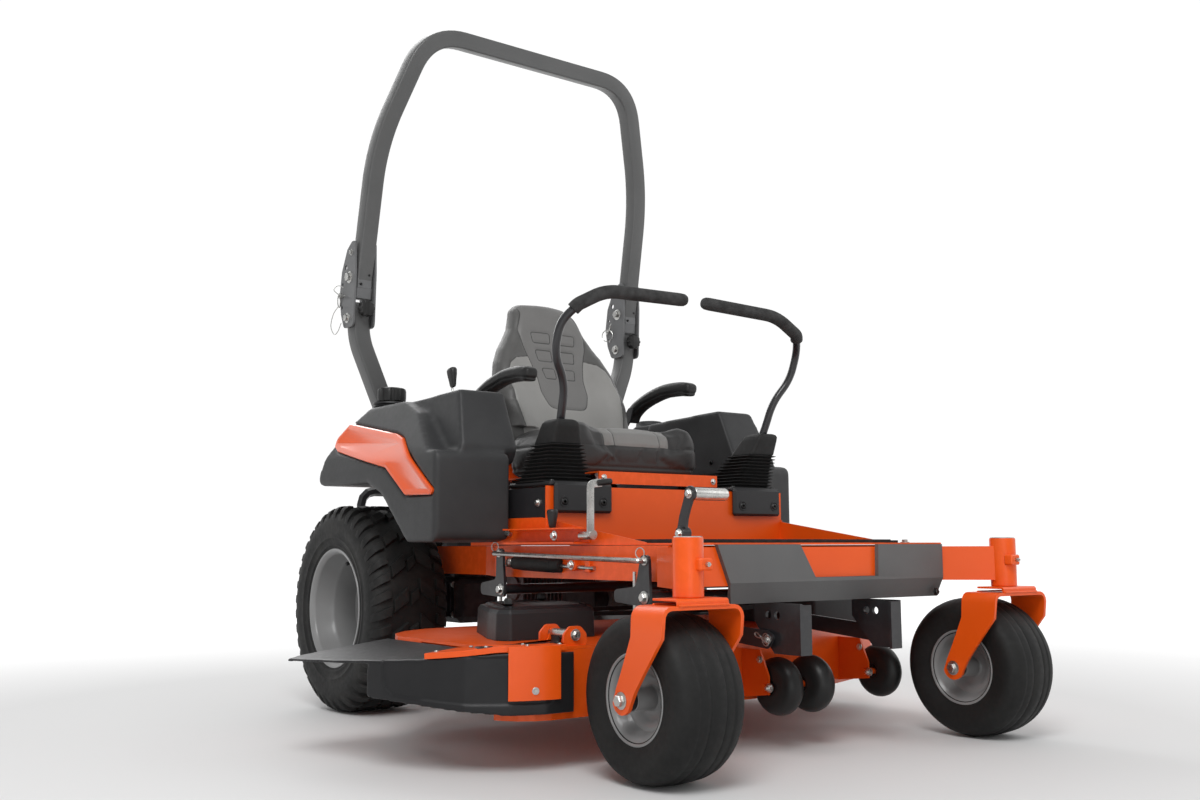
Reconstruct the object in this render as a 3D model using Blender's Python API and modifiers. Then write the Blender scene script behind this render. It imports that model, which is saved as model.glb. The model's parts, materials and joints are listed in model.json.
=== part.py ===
"""Zero turn mower with a roll bar, modelled as separate parts that move.

Units are metres. The machine stands on z = 0 and faces -Y, with +X at the
operator's left. Every part is placed in the machine's own frame, whose origin
is on the ground below the middle of the rear axle; the parent empty "machine"
then moves the whole object so that the middle of its base is at the origin.
"""
import bpy
import bmesh
from math import atan2, cos, hypot, pi, radians, sin, tan
from mathutils import Matrix, Vector

# ---------------------------------------------------------------- dimensions
GAP = 0.0003                      # running or resting gap between touching parts
LEFT, RIGHT = 1, -1               # operator's sides, as the sign of x


REAR_TYRE_R = 0.2858              # 22.5 in tyre
REAR_TYRE_W = 0.237
REAR_RIM_R = 0.160
REAR_X = 0.4765                   # half the rear track

CASTER_TYRE_R = 0.165             # 13 in tyre
CASTER_TYRE_W = 0.166
CASTER_RIM_R = 0.086
CASTER_X = 0.498                  # swivel axis
CASTER_Y = -1.419
CASTER_TRAIL = 0.079
SWIVEL_R = 0.0295
SWIVEL_Z = (0.357, 0.471)

RAIL_Z = (0.380, 0.456)           # main frame rails
RAIL_X = 0.375
RAIL_REAR_X = 0.305
RAIL_W = 0.050
RAIL_WALL = 0.005
BEAM_Y = -1.283                   # middle of the front cross beam
BEAM_DEPTH = 0.076
FLOOR_Z = 0.457

DECK_Z = (0.105, 0.250)
DECK_PLATE = 0.006
SPINDLE_X = 0.4545                # outer blade spindles
SPINDLE_Y = -0.700
CENTRE_SPINDLE_Y = -0.865
BLADE_LENGTH = 0.463              # three blades cut 1.372 m (54 in)
BLADE_Z = 0.125
DECK_RADIUS = 0.262
DECK_FRONT_Y = -1.1185
DECK_RIGHT_X = -0.706

ROPS_SIZE = 0.0508                # square tube
ROPS_CLEARANCE = 0.0018
ROPS_HINGE = (0.497, 0.056, 1.200)
ROPS_KNEE = (0.490, -0.028, 1.640)
ROPS_TOP = (0.374, -0.115, 1.984)
ROPS_BEND_R = 0.115

LEVER_PIVOT = (0.310, -0.700, 0.585)
BOOT_BASE_Z = 0.6125

HITCH_Z = 0.330
GUARD_Y = 0.551                   # rear face of the guard loop
CHUTE_TIP_X = -0.968

SEAT_HINGE = (0.0, -0.722, 0.630)
ARM_PIVOT = (-0.258, 0.835)         # y and z
CHUTE_HINGE = (-0.543, -1.064, 0.272)
FRONT_CRANK = (-1.198, 0.348)       # y and z of the shaft
REAR_CRANK = (-0.633, 0.350)
PEDAL_PIVOT = (-1.265, 0.480)
HEIGHT_PIVOT = (-1.010, 0.480)
THROTTLE = (-0.440, -0.412, 0.850)
FUEL_CAP = (-0.470, -0.110, 0.8623)

ROLLER_R = 0.065
ROLLER_Z = 0.140
ROLLER_BRACKETS = [(-0.078, -1.184, 0.075), (0.362, -1.090, 0.085)]   # x, bolt y, depth

# middle of the whole object's box, in the machine's frame
BASE_CENTRE = ((CHUTE_TIP_X + SPINDLE_X + DECK_RADIUS) / 2,
               (CASTER_Y + CASTER_TRAIL - CASTER_TYRE_R + GUARD_Y) / 2)

# ------------------------------------------------------------------- helpers


def clear_scene():
    for thing in list(bpy.data.objects):
        bpy.data.objects.remove(thing, do_unlink=True)


def make_collection(name):
    group = bpy.data.collections.new(name)
    bpy.context.scene.collection.children.link(group)
    return group


clear_scene()
PARTS = make_collection("zero_turn_mower")
CUTTERS = make_collection("cutters")
MACHINE = bpy.data.objects.new("machine", None)
MACHINE.location = (-BASE_CENTRE[0], -BASE_CENTRE[1], 0.0)
PARTS.objects.link(MACHINE)


def paint(name, color, roughness, metallic=0.0):
    """A plain Principled material."""
    found = bpy.data.materials.get(name)
    if found:
        return found
    made = bpy.data.materials.new(name)
    made.use_nodes = True
    shader = made.node_tree.nodes["Principled BSDF"]
    shader.inputs["Base Color"].default_value = (*color, 1.0)
    shader.inputs["Roughness"].default_value = roughness
    shader.inputs["Metallic"].default_value = metallic
    return made


def orange():
    return paint("orange_paint", (0.95, 0.14, 0.02), 0.35)


def grey_plastic():
    return paint("grey_plastic", (0.075, 0.075, 0.08), 0.55)


def black_plastic():
    return paint("black_plastic", (0.02, 0.02, 0.022), 0.5)


def black_steel():
    return paint("black_steel", (0.025, 0.025, 0.028), 0.4, 0.3)


def grey_steel():
    return paint("grey_steel", (0.13, 0.13, 0.135), 0.4, 0.3)


def rubber():
    return paint("tyre_rubber", (0.02, 0.02, 0.02), 0.8)


def rim_paint():
    return paint("rim_paint", (0.28, 0.27, 0.26), 0.4, 0.3)


def zinc():
    return paint("zinc_plate", (0.65, 0.65, 0.66), 0.3, 1.0)


def cast_metal():
    return paint("cast_metal", (0.12, 0.12, 0.125), 0.5, 0.8)


def vinyl():
    return paint("seat_vinyl", (0.2, 0.2, 0.2), 0.6)


def shade(mesh, degrees=35.0):
    mesh.shade_smooth()
    mesh.set_sharp_from_angle(angle=radians(degrees))


def rounded(points, radius, steps=3):
    """The outline with each corner turned into an arc of the given radius."""
    outline = []
    count = len(points)
    for index, corner in enumerate(points):
        here = Vector(corner)
        back = Vector(points[index - 1]) - here
        ahead = Vector(points[(index + 1) % count]) - here
        half = back.angle(ahead) / 2
        reach = min(radius / tan(half), back.length * 0.45, ahead.length * 0.45)
        true_radius = reach * tan(half)
        middle = here + (back.normalized() + ahead.normalized()).normalized() * true_radius / sin(half)
        first = here + back.normalized() * reach - middle
        last = here + ahead.normalized() * reach - middle
        start = atan2(first.y, first.x)
        turn = (atan2(last.y, last.x) - start + pi) % (2 * pi) - pi
        for step in range(steps + 1):
            angle = start + turn * step / steps
            outline.append((middle.x + true_radius * cos(angle), middle.y + true_radius * sin(angle)))
    return outline


def arc(centre, radius, start, end, steps):
    """Points on an arc, with the angles in degrees."""
    return [(centre[0] + radius * cos(radians(start + (end - start) * i / steps)),
             centre[1] + radius * sin(radians(start + (end - start) * i / steps)))
            for i in range(steps + 1)]


def as_mesh(source, name):
    """Swap a curve object for a welded mesh object in the same place."""
    graph = bpy.context.evaluated_depsgraph_get()
    mesh = bpy.data.meshes.new_from_object(source.evaluated_get(graph))
    matrix = source.matrix_world.copy()
    curve = source.data
    bpy.data.objects.remove(source, do_unlink=True)
    bpy.data.curves.remove(curve)
    work = bmesh.new()
    work.from_mesh(mesh)
    bmesh.ops.remove_doubles(work, verts=work.verts, dist=0.00001)
    bmesh.ops.transform(work, matrix=matrix, verts=work.verts)
    bmesh.ops.recalc_face_normals(work, faces=work.faces)
    work.to_mesh(mesh)
    work.free()
    mesh.name = name
    made = bpy.data.objects.new(name, mesh)
    CUTTERS.objects.link(made)
    return made


def plate(outline, low, high, plane="z"):
    """A flat outline with thickness. plane z: (x, y); plane x: (y, z); plane y: (x, z)."""
    curve = bpy.data.curves.new("outline", "CURVE")
    curve.dimensions = "2D"
    curve.fill_mode = "BOTH"
    curve.extrude = (high - low) / 2
    spline = curve.splines.new("POLY")
    spline.points.add(len(outline) - 1)
    for point, place in zip(spline.points, outline):
        point.co = (place[0], place[1], 0.0, 1.0)
    spline.use_cyclic_u = True
    source = bpy.data.objects.new("outline", curve)
    CUTTERS.objects.link(source)
    middle = (low + high) / 2
    if plane == "x":
        source.matrix_world = Matrix(((0, 0, 1, middle), (1, 0, 0, 0), (0, 1, 0, 0), (0, 0, 0, 1)))
    elif plane == "y":
        source.matrix_world = Matrix(((1, 0, 0, 0), (0, 0, -1, middle), (0, 1, 0, 0), (0, 0, 0, 1)))
    else:
        source.matrix_world = Matrix.Translation((0, 0, middle))
    bpy.context.view_layer.update()
    return as_mesh(source, "outline")


def from_bmesh(work, name="solid"):
    mesh = bpy.data.meshes.new(name)
    work.to_mesh(mesh)
    work.free()
    made = bpy.data.objects.new(name, mesh)
    CUTTERS.objects.link(made)
    return made


def box(low, high, bevel=0.0, segments=1):
    """A box between two corners, with its edges chamfered."""
    work = bmesh.new()
    bmesh.ops.create_cube(work, size=1.0)
    size = [b - a for a, b in zip(low, high)]
    middle = [(a + b) / 2 for a, b in zip(low, high)]
    bmesh.ops.scale(work, vec=size, verts=work.verts)
    bmesh.ops.translate(work, vec=middle, verts=work.verts)
    if bevel:
        bmesh.ops.bevel(work, geom=work.edges[:], offset=bevel, segments=segments,
                        profile=0.5, affect="EDGES")
    return from_bmesh(work)


def rod(start, end, radius, sides=16, end_radius=None):
    """A cylinder or cone between two points."""
    start, end = Vector(start), Vector(end)
    along = end - start
    work = bmesh.new()
    bmesh.ops.create_cone(work, cap_ends=True, segments=sides, radius1=radius,
                          radius2=radius if end_radius is None else end_radius, depth=along.length)
    turn = Vector((0, 0, 1)).rotation_difference(along).to_matrix().to_4x4()
    bmesh.ops.transform(work, matrix=Matrix.Translation((start + end) / 2) @ turn, verts=work.verts)
    return from_bmesh(work)


def tube(points, radius, resolution=2, square=False):
    """A bent round bar, or a square one of the given half width."""
    curve = bpy.data.curves.new("path", "CURVE")
    curve.dimensions = "3D"
    curve.bevel_depth = radius * (2 ** 0.5 if square else 1.0)
    curve.bevel_resolution = 0 if square else resolution
    curve.use_fill_caps = True
    curve.twist_mode = "MINIMUM"
    spline = curve.splines.new("POLY")
    spline.points.add(len(points) - 1)
    for point, place in zip(spline.points, points):
        point.co = (*place, 1.0)
        point.tilt = radians(45) if square else 0.0
    source = bpy.data.objects.new("path", curve)
    CUTTERS.objects.link(source)
    bpy.context.view_layer.update()
    return as_mesh(source, "path")


def bent(points, radius, steps=4):
    """The 3-D path with each inner corner turned into an arc."""
    path = [Vector(points[0])]
    for before, here, after in zip(points, points[1:], points[2:]):
        here = Vector(here)
        back = Vector(before) - here
        ahead = Vector(after) - here
        half = back.angle(ahead) / 2
        reach = min(radius / tan(half), back.length * 0.45, ahead.length * 0.45)
        true_radius = reach * tan(half)
        middle = here + (back.normalized() + ahead.normalized()).normalized() * true_radius / sin(half)
        first = here + back.normalized() * reach - middle
        last = here + ahead.normalized() * reach - middle
        turn = first.angle(last)
        for step in range(steps + 1):
            part = step / steps
            mix = (first * sin((1 - part) * turn) + last * sin(part * turn)) / sin(turn)
            path.append(middle + mix)
    path.append(Vector(points[-1]))
    return path


def lathe(profile, steps, centre, axis="x"):
    """A turned solid. The profile is (radius, height), from top to bottom."""
    mesh = bpy.data.meshes.new("profile")
    mesh.from_pydata([(radius, 0.0, height) for radius, height in profile],
                     [(i, i + 1) for i in range(len(profile) - 1)], [])
    made = bpy.data.objects.new("profile", mesh)
    CUTTERS.objects.link(made)
    screw = made.modifiers.new("turn", "SCREW")
    screw.steps = steps
    screw.render_steps = steps
    screw.use_merge_vertices = True
    screw.merge_threshold = 0.0001
    turns = {"x": Matrix.Rotation(radians(90), 4, "Y"), "y": Matrix.Rotation(radians(-90), 4, "X"),
             "z": Matrix.Identity(4)}
    graph = bpy.context.evaluated_depsgraph_get()
    solid = bpy.data.meshes.new_from_object(made.evaluated_get(graph))
    bpy.data.objects.remove(made, do_unlink=True)
    work = bmesh.new()
    work.from_mesh(solid)
    bmesh.ops.remove_doubles(work, verts=work.verts, dist=0.00005)
    bmesh.ops.transform(work, matrix=Matrix.Translation(centre) @ turns[axis], verts=work.verts)
    bmesh.ops.recalc_face_normals(work, faces=work.faces)
    bpy.data.meshes.remove(solid)
    return from_bmesh(work)


def reshape(solid, move):
    """Move each vertex of a solid: move(co) returns its new place."""
    for vertex in solid.data.vertices:
        vertex.co = move(vertex.co)
    return solid


def combine(base, others, operation="UNION"):
    """Join solids to the base, or cut them from it, with exact booleans."""
    for other in others:
        step = base.modifiers.new(operation.lower(), "BOOLEAN")
        step.operation = operation
        step.solver = "EXACT"
        step.object = other
        other.hide_render = True
        other.display_type = "WIRE"
    return base


def cut(base, others):
    return combine(base, others, "DIFFERENCE")


def baked(base):
    """The solid with its modifiers applied, so that it can be mirrored or cut again."""
    graph = bpy.context.evaluated_depsgraph_get()
    mesh = bpy.data.meshes.new_from_object(base.evaluated_get(graph))
    base.modifiers.clear()
    base.data = mesh
    return base


def part(name, solid, material, side=None):
    """Give a finished solid its name, finish and place. side mirrors a right-hand solid."""
    solid = baked(solid)
    work = bmesh.new()
    work.from_mesh(solid.data)
    if side == LEFT:
        bmesh.ops.scale(work, vec=(-1, 1, 1), verts=work.verts)
        bmesh.ops.reverse_faces(work, faces=work.faces)
    bmesh.ops.remove_doubles(work, verts=work.verts, dist=0.00002)
    bmesh.ops.dissolve_degenerate(work, dist=0.00001, edges=work.edges)
    work.to_mesh(solid.data)
    work.free()
    solid.name = name
    solid.data.name = name
    solid.data.materials.clear()
    solid.data.materials.append(material)
    shade(solid.data)
    CUTTERS.objects.unlink(solid)
    PARTS.objects.link(solid)
    solid.parent = MACHINE
    return solid


def set_origin(solid, place):
    """Put a moving part's origin on its joint's axis."""
    solid.data.transform(Matrix.Translation(-Vector(place)))
    solid.location = place
    return solid


def name_of(side):
    return "left" if side == LEFT else "right"


def clean_up():
    """Remove the guide solids that no part uses any more."""
    for thing in list(CUTTERS.objects):
        bpy.data.objects.remove(thing, do_unlink=True)


# ------------------------------------------------------------------- chassis


def frame_rail(side):
    """Main rail: wide at the front, stepped in between the drive wheels at the rear."""
    half = RAIL_W / 2
    centre = [(-RAIL_X, -1.243), (-RAIL_X, -0.560), (-RAIL_REAR_X, -0.400), (-RAIL_REAR_X, 0.500)]
    outer = [(x - half, y) for x, y in centre]
    inner = [(x + half, y) for x, y in reversed(centre)]
    solid = plate(outer + inner, *RAIL_Z)
    core = half - RAIL_WALL
    middle = [(-RAIL_X, -1.260)] + centre[1:3] + [(-RAIL_REAR_X, 0.520)]
    hollow = plate([(x - core, y) for x, y in middle] + [(x + core, y) for x, y in reversed(middle)],
                   RAIL_Z[0] + RAIL_WALL, RAIL_Z[1] - RAIL_WALL)
    return part("frame_rail_" + name_of(side), cut(solid, [hollow]), orange(), side)


def front_beam():
    """Cross beam with its swept caster arms, gussets and swivel tubes, welded as one."""
    front = BEAM_Y - BEAM_DEPTH / 2
    rear = BEAM_Y + BEAM_DEPTH / 2
    outline = [(-0.3835, front), (-CASTER_X + 0.010, CASTER_Y - 0.020), (-CASTER_X - 0.012, CASTER_Y + 0.020),
               (-0.440, rear - 0.010), (-0.385, rear)]
    mirrored = [(-x, y) for x, y in reversed(outline)]
    solid = plate(outline + mirrored, 0.372, 0.452)
    extras = []
    for side in (LEFT, RIGHT):
        x = side * CASTER_X
        extras.append(rod((x, CASTER_Y, SWIVEL_Z[0]), (x, CASTER_Y, SWIVEL_Z[1]), SWIVEL_R, 16))
        guard = box((x - 0.016 - side * 0.010, CASTER_Y - 0.043, 0.408),
                    (x + 0.016 - side * 0.010, CASTER_Y - 0.020, 0.432), 0.003)
        extras.append(guard)
    return part("front_beam", combine(solid, extras), orange())


def front_cover():
    """Bent plastic cover over the beam, open where the painted beam shows through."""
    front = BEAM_Y - BEAM_DEPTH / 2 - GAP
    wall = 0.010
    profile = [(front, 0.4575), (front - wall, 0.4575), (front - wall, 0.378), (front + 0.012, 0.334),
               (front + 0.021, 0.338), (front, 0.3715)]
    solid = plate(profile, -0.383, 0.383, "x")
    window = [(-0.128, 0.500), (-0.055, 0.386), (0.150, 0.386), (0.154, 0.500)]
    taper = [(-0.500, 0.500), (-0.360, 0.500), (-0.300, 0.360), (-0.270, 0.300), (-0.500, 0.300)]
    cutters = [plate(window, front - 0.05, front + 0.05, "y"), plate(taper, front - 0.05, front + 0.05, "y")]
    return part("front_cover", cut(solid, cutters), grey_plastic())


def foot_platform():
    """Floor sheet with its tapering side walls and the riser in front of the seat."""
    edge = 0.394
    sheet = 0.004
    floor = box((-edge, -1.320, FLOOR_Z), (edge, -0.430, FLOOR_Z + sheet))
    riser = box((-edge, -0.7815, FLOOR_Z), (edge, -0.7815 + sheet, 0.600))
    walls = [(-1.160, FLOOR_Z), (-0.430, FLOOR_Z), (-0.430, 0.524), (-0.760, 0.524), (-1.160, 0.4625)]
    parts = [riser]
    for side in (LEFT, RIGHT):
        inner, outer = sorted((side * edge, side * (edge - sheet)))
        parts.append(plate(walls, inner, outer, "x"))
    return part("foot_platform", combine(floor, parts), orange())


def foot_mat():
    solid = box((-0.380, -1.210, FLOOR_Z + 0.0043), (0.380, -0.800, FLOOR_Z + 0.0103), 0.002)
    return part("foot_mat", solid, rubber())


def rear_frame():
    """Engine plate, rear guard loop and hitch tongue."""
    deck = box((-0.2795, -0.120, 0.420), (0.2795, 0.470, 0.426))
    guard_path = bent([(-0.250, 0.430, 0.405), (-0.250, 0.535, 0.405), (-0.250, 0.535, 0.640),
                       (0.250, 0.535, 0.640), (0.250, 0.535, 0.405), (0.250, 0.430, 0.405)], 0.045, 3)
    guard = tube(guard_path, 0.016, 1)
    tongue = box((-0.045, 0.380, HITCH_Z), (0.045, 0.548, HITCH_Z + 0.008))
    web = box((-0.280, 0.395, HITCH_Z), (0.280, 0.401, 0.424))
    posts = [box((s * 0.250 - 0.012, 0.401, 0.395), (s * 0.250 + 0.012, 0.440, 0.422)) for s in (LEFT, RIGHT)]
    hole = rod((0.0, 0.515, HITCH_Z - 0.02), (0.0, 0.515, HITCH_Z + 0.03), 0.0095, 16)
    solid = combine(deck, [guard, tongue, web] + posts)
    return part("rear_guard", cut(baked(solid), [hole]), black_steel())


def engine():
    """Vertical shaft twin: crankcase with two finned cylinders, and the fan housing on top."""
    sump = lathe([(0.0, 0.600), (0.110, 0.600), (0.128, 0.585), (0.128, 0.4265), (0.0, 0.4265)], 16,
                 (0.0, 0.170, 0.0), "z")
    cylinders = []
    for side in (LEFT, RIGHT):
        start = Vector((side * 0.080, 0.220, 0.525))
        along = Vector((side * 0.700, 0.700, 0.0)).normalized()
        cylinders.append(rod(start, start + along * 0.090, 0.052, 10))
        for fin in range(2):
            low = start + along * (0.040 + 0.030 * fin)
            cylinders.append(rod(low, low + along * 0.010, 0.066, 10))
        head = start + along * 0.088
        cylinders.append(rod(head, head + along * 0.040, 0.050, 8))
    block = part("engine_block", combine(sump, cylinders), cast_metal())
    shroud = lathe([(0.0, 0.770), (0.070, 0.770), (0.085, 0.755), (0.150, 0.735), (0.168, 0.715),
                    (0.172, 0.6003 + GAP), (0.0, 0.6003 + GAP)], 16, (0.0, 0.170, 0.0), "z")
    housing = part("engine_shroud", shroud, black_plastic())
    return block, housing


def muffler():
    can = rod((-0.150, 0.440, 0.500), (0.150, 0.440, 0.500), 0.055, 20)
    outlet = tube(bent([(0.140, 0.440, 0.500), (0.200, 0.440, 0.500), (0.200, 0.505, 0.465)], 0.025, 3),
                  0.015, 1)
    return part("muffler", combine(can, [outlet]), grey_steel())


def fender(side):
    """Moulded fender with the fuel tank and the raised control console."""
    outline = [(0.085, 0.628), (0.060, 0.710), (-0.030, 0.805), (-0.100, 0.842), (-0.300, 0.842),
               (-0.420, 0.800), (-0.560, 0.692), (-0.614, 0.690), (-0.614, 0.465), (-0.466, 0.465),
               (-0.320, 0.590), (-0.240, 0.622), (-0.120, 0.622)]
    body = plate(rounded(outline, 0.020, 2), -0.604, -0.412, "x")

    def lean(co):
        inward = max(0.0, co.z - 0.680) * (0.45 if co.x < -0.500 else 0.0)
        swept = 0.030 if co.x > -0.500 and co.y < -0.600 else 0.0
        return Vector((co.x + inward, co.y - swept, co.z))

    body = reshape(body, lean)
    console_side = [(-0.220, 0.760), (-0.220, 0.838), (-0.553, 0.852), (-0.622, 0.700), (-0.600, 0.660),
                    (-0.300, 0.660)]
    console = plate(rounded(console_side, 0.012, 2), -0.505, -0.372, "x")

    def flare(co):
        low = max(0.0, 0.850 - co.z) / 0.150
        return Vector((co.x - (0.030 * low if co.x < -0.45 else 0.0), co.y, co.z))

    console = reshape(console, flare)
    post_room = sweep_post(ROPS_SIZE / 2 + 0.008)
    recess = plate([(-0.120, 0.797), (-0.026, 0.737), (-0.325, 0.668), (-0.460, 0.582), (-0.600, 0.582),
                    (-0.420, 0.745)], -0.640, -0.598, "x")
    neck = rod((FUEL_CAP[0], FUEL_CAP[1], 0.800), (FUEL_CAP[0], FUEL_CAP[1], 0.862), 0.046, 12)
    solid = combine(body, [console, neck])
    solid = cut(baked(solid), [post_room, recess])
    return part("fender_" + name_of(side), solid, grey_plastic(), side)


def fuel_cap():
    profile = [(0.0, 0.9030), (0.030, 0.9030), (0.040, 0.8990), (0.043, 0.8900), (0.043, 0.8660),
               (0.038, 0.8623), (0.0, 0.8623)]
    solid = lathe(profile, 16, (FUEL_CAP[0], FUEL_CAP[1], 0.0), "z")
    return set_origin(part("fuel_cap", solid, black_plastic()), FUEL_CAP)


def transaxle(side):
    """Hydrostatic unit between the rails, with its cooling fan and axle housing."""
    case = box((-0.250, -0.120, 0.235), (-0.110, 0.110, 0.365), 0.018)
    horn = rod((-0.240, 0.0, REAR_TYRE_R), (-0.352, 0.0, REAR_TYRE_R), 0.048, 16, 0.040)
    pump = rod((-0.175, -0.050, 0.350), (-0.175, -0.050, 0.3895), 0.050, 16)
    fan = rod((-0.175, -0.050, 0.380), (-0.175, -0.050, 0.402), 0.080, 20)
    return part("transaxle_" + name_of(side), combine(case, [horn, pump, fan]), cast_metal(), side)


def post_path():
    hinge = Vector(ROPS_HINGE)
    return [(-0.300, 0.040, RAIL_Z[1] + GAP), (-0.300, 0.040, 0.560), (-0.340, 0.045, 0.690),
            (-hinge.x, hinge.y + 0.006, 1.070), (-hinge.x, hinge.y, hinge.z - 0.037)]


def sweep_post(half):
    path = bent(post_path(), 0.090, 3)
    return tube(path, half, square=True)


def rops_post(side):
    """Lower roll bar post with its two hinge plates, which hold the folding hoop."""
    post = sweep_post(ROPS_SIZE / 2)
    x, y, z = ROPS_HINGE
    outline = [(y + 0.044, z - 0.100), (y + 0.058, z - 0.010), (y + 0.052, z + 0.060), (y + 0.014, z + 0.135),
               (y - 0.036, z + 0.150), (y - 0.040, z + 0.060), (y - 0.034, z - 0.100)]
    plates = []
    for offset in (-1, 1):
        middle = -x + offset * (ROPS_SIZE / 2 + 0.0065)
        plates.append(plate(rounded(outline, 0.015, 1), middle - 0.003, middle + 0.003, "x"))
    spacer_x = ROPS_SIZE / 2 + 0.007
    pin = rod((-x - spacer_x, y + 0.004, z - 0.070), (-x + spacer_x, y + 0.004, z - 0.070), 0.010, 8)
    solid = combine(post, plates + [pin])
    return part("rops_post_" + name_of(side), solid, grey_steel(), side)


def rops_hoop():
    """Folding upper hoop: two legs, a kink in each, and the top bar with round bends."""
    x, y, z = ROPS_HINGE
    knee_x, knee_y, knee_z = ROPS_KNEE
    top_x, top_y, top_z = ROPS_TOP
    start_z = z - 0.018
    start_y = y + (knee_y - y) / (knee_z - z) * (start_z - z)
    half_path = [(-x, start_y, start_z), (-knee_x, knee_y, knee_z), (-top_x, top_y, top_z)]
    other = [(-px, py, pz) for px, py, pz in reversed(half_path)]
    path = bent(half_path + other, ROPS_BEND_R, 4)
    solid = tube(path, ROPS_SIZE / 2 - ROPS_CLEARANCE, square=True)
    return set_origin(part("rops_hoop", solid, grey_steel()), (0.0, y, z + 0.045))


def boot_plate(side):
    """Black moulded base below the lever boot, folded over the riser's top corner."""
    top = box((-0.386, -0.787, 0.6003), (-0.205, -0.600, 0.6120), 0.004)
    face = box((-0.3772, -0.798, 0.535), (-0.205, -0.7825, 0.6080), 0.006)
    return part("boot_plate_" + name_of(side), combine(top, [face]), black_plastic(), side)


def deck_hanger(side):
    """Black channel below the beam, which carries the deck's front push arm."""
    x = -0.157
    web = box((x - 0.004, -1.384, 0.226), (x + 0.004, -1.246, 0.3715))
    flange = box((x - 0.004, -1.384, 0.226), (x + 0.030, -1.376, 0.330))
    corner = plate([(-1.400, 0.400), (-1.293, 0.400), (-1.293, 0.333), (-1.400, 0.333)], x - 0.02, x + 0.05, "x")
    low_corner = plate([(-1.240, 0.200), (-1.240, 0.300), (-1.330, 0.200)], x - 0.02, x + 0.05, "x")
    holes = [rod((x - 0.02, y, z), (x + 0.02, y, z), 0.009, 12) for y, z in ((-1.290, 0.307), (-1.316, 0.307))]
    solid = cut(baked(combine(web, [flange])), [corner, low_corner] + holes)
    return part("deck_hanger_" + name_of(side), solid, black_steel(), side)


def lift_channel():
    """Orange channel beside the platform, with the height selector's shaft across it."""
    outer = box((-0.440, -0.960, 0.4605), (-0.3945, -0.660, 0.497))
    room = box((-0.460, -0.970, 0.4640), (-0.398, -0.650, 0.4935))
    return part("lift_channel", cut(outer, [room]), orange())


# ---------------------------------------------------------------------- seat


def seat():
    """Hinged seat plate with the cushion and the high backrest on it."""
    base = box((-0.200, -0.734, 0.640), (0.200, -0.2265, 0.644))
    lip = box((-0.200, -0.734, 0.6125), (0.200, -0.729, 0.642))
    rear_wall = box((-0.200, -0.2305, 0.642), (0.200, -0.2265, 0.780))
    plate_solid = part("seat_plate", combine(base, [lip, rear_wall]), orange())
    set_origin(plate_solid, SEAT_HINGE)
    cushion = box((-0.252, -0.665, 0.6443), (0.252, -0.3305, 0.742), 0.030, 2)
    cushion = part("seat_cushion", cushion, vinyl())
    half_outline = [(-0.215, 0.720), (-0.236, 0.870), (-0.220, 0.970), (-0.182, 1.050), (-0.142, 1.110),
                    (-0.116, 1.170), (-0.080, 1.192)]
    outline = half_outline + [(-x, z) for x, z in reversed(half_outline)]
    back = plate(rounded(outline, 0.030, 2), -0.330, -0.2350, "y")
    recline = tan(radians(20))

    def tip(co):
        high = max(0.0, co.z - 0.780)
        behind = co.y > -0.280
        thin = high * 0.10 if behind else 0.0
        narrow = 1.0 - (high * 0.45 if behind else 0.0)
        return Vector((co.x * narrow, co.y + high * recline - thin, co.z))

    work = bmesh.new()
    work.from_mesh(back.data)
    cut_plane = dict(plane_co=(0, 0, 0.780), plane_no=(0, 0, 1))
    bmesh.ops.bisect_plane(work, geom=work.verts[:] + work.edges[:] + work.faces[:], **cut_plane)
    work.to_mesh(back.data)
    work.free()
    back = part("seat_backrest", reshape(back, tip), vinyl())
    return plate_solid, cushion, back


def armrest(side):
    """Folding armrest: a padded arm on a flat bracket beside the backrest."""
    outline = [(-0.275, 0.815), (-0.240, 0.820), (-0.262, 0.878), (-0.330, 0.914), (-0.430, 0.933),
               (-0.520, 0.928), (-0.554, 0.912), (-0.548, 0.893), (-0.430, 0.897), (-0.340, 0.874)]
    pad = plate(rounded(outline, 0.012, 2), -0.302, -0.2563, "x")
    arm = part("armrest_" + name_of(side), pad, black_plastic(), side)
    return set_origin(arm, (side * 0.279, ARM_PIVOT[0], ARM_PIVOT[1]))


# -------------------------------------------------------------------- wheels


def tyre_profile(radius, width, bead, crown):
    """Section of a hollow tyre, from the middle of the tread round to the bead."""
    half = width / 2
    side = half * 0.86
    outer = [(bead, side * 0.93), (bead + 0.014, side * 0.93), (radius - 0.060, half),
             (radius - crown, half * 0.86), (radius, half * 0.55)]
    inner = [(bead + 0.012, side * 0.80), (bead, side * 0.80)]
    down = [(reach, -height) for reach, height in reversed(outer)]
    return outer + down + [(reach, -height) for reach, height in reversed(inner)] + inner + [outer[0]]


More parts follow.
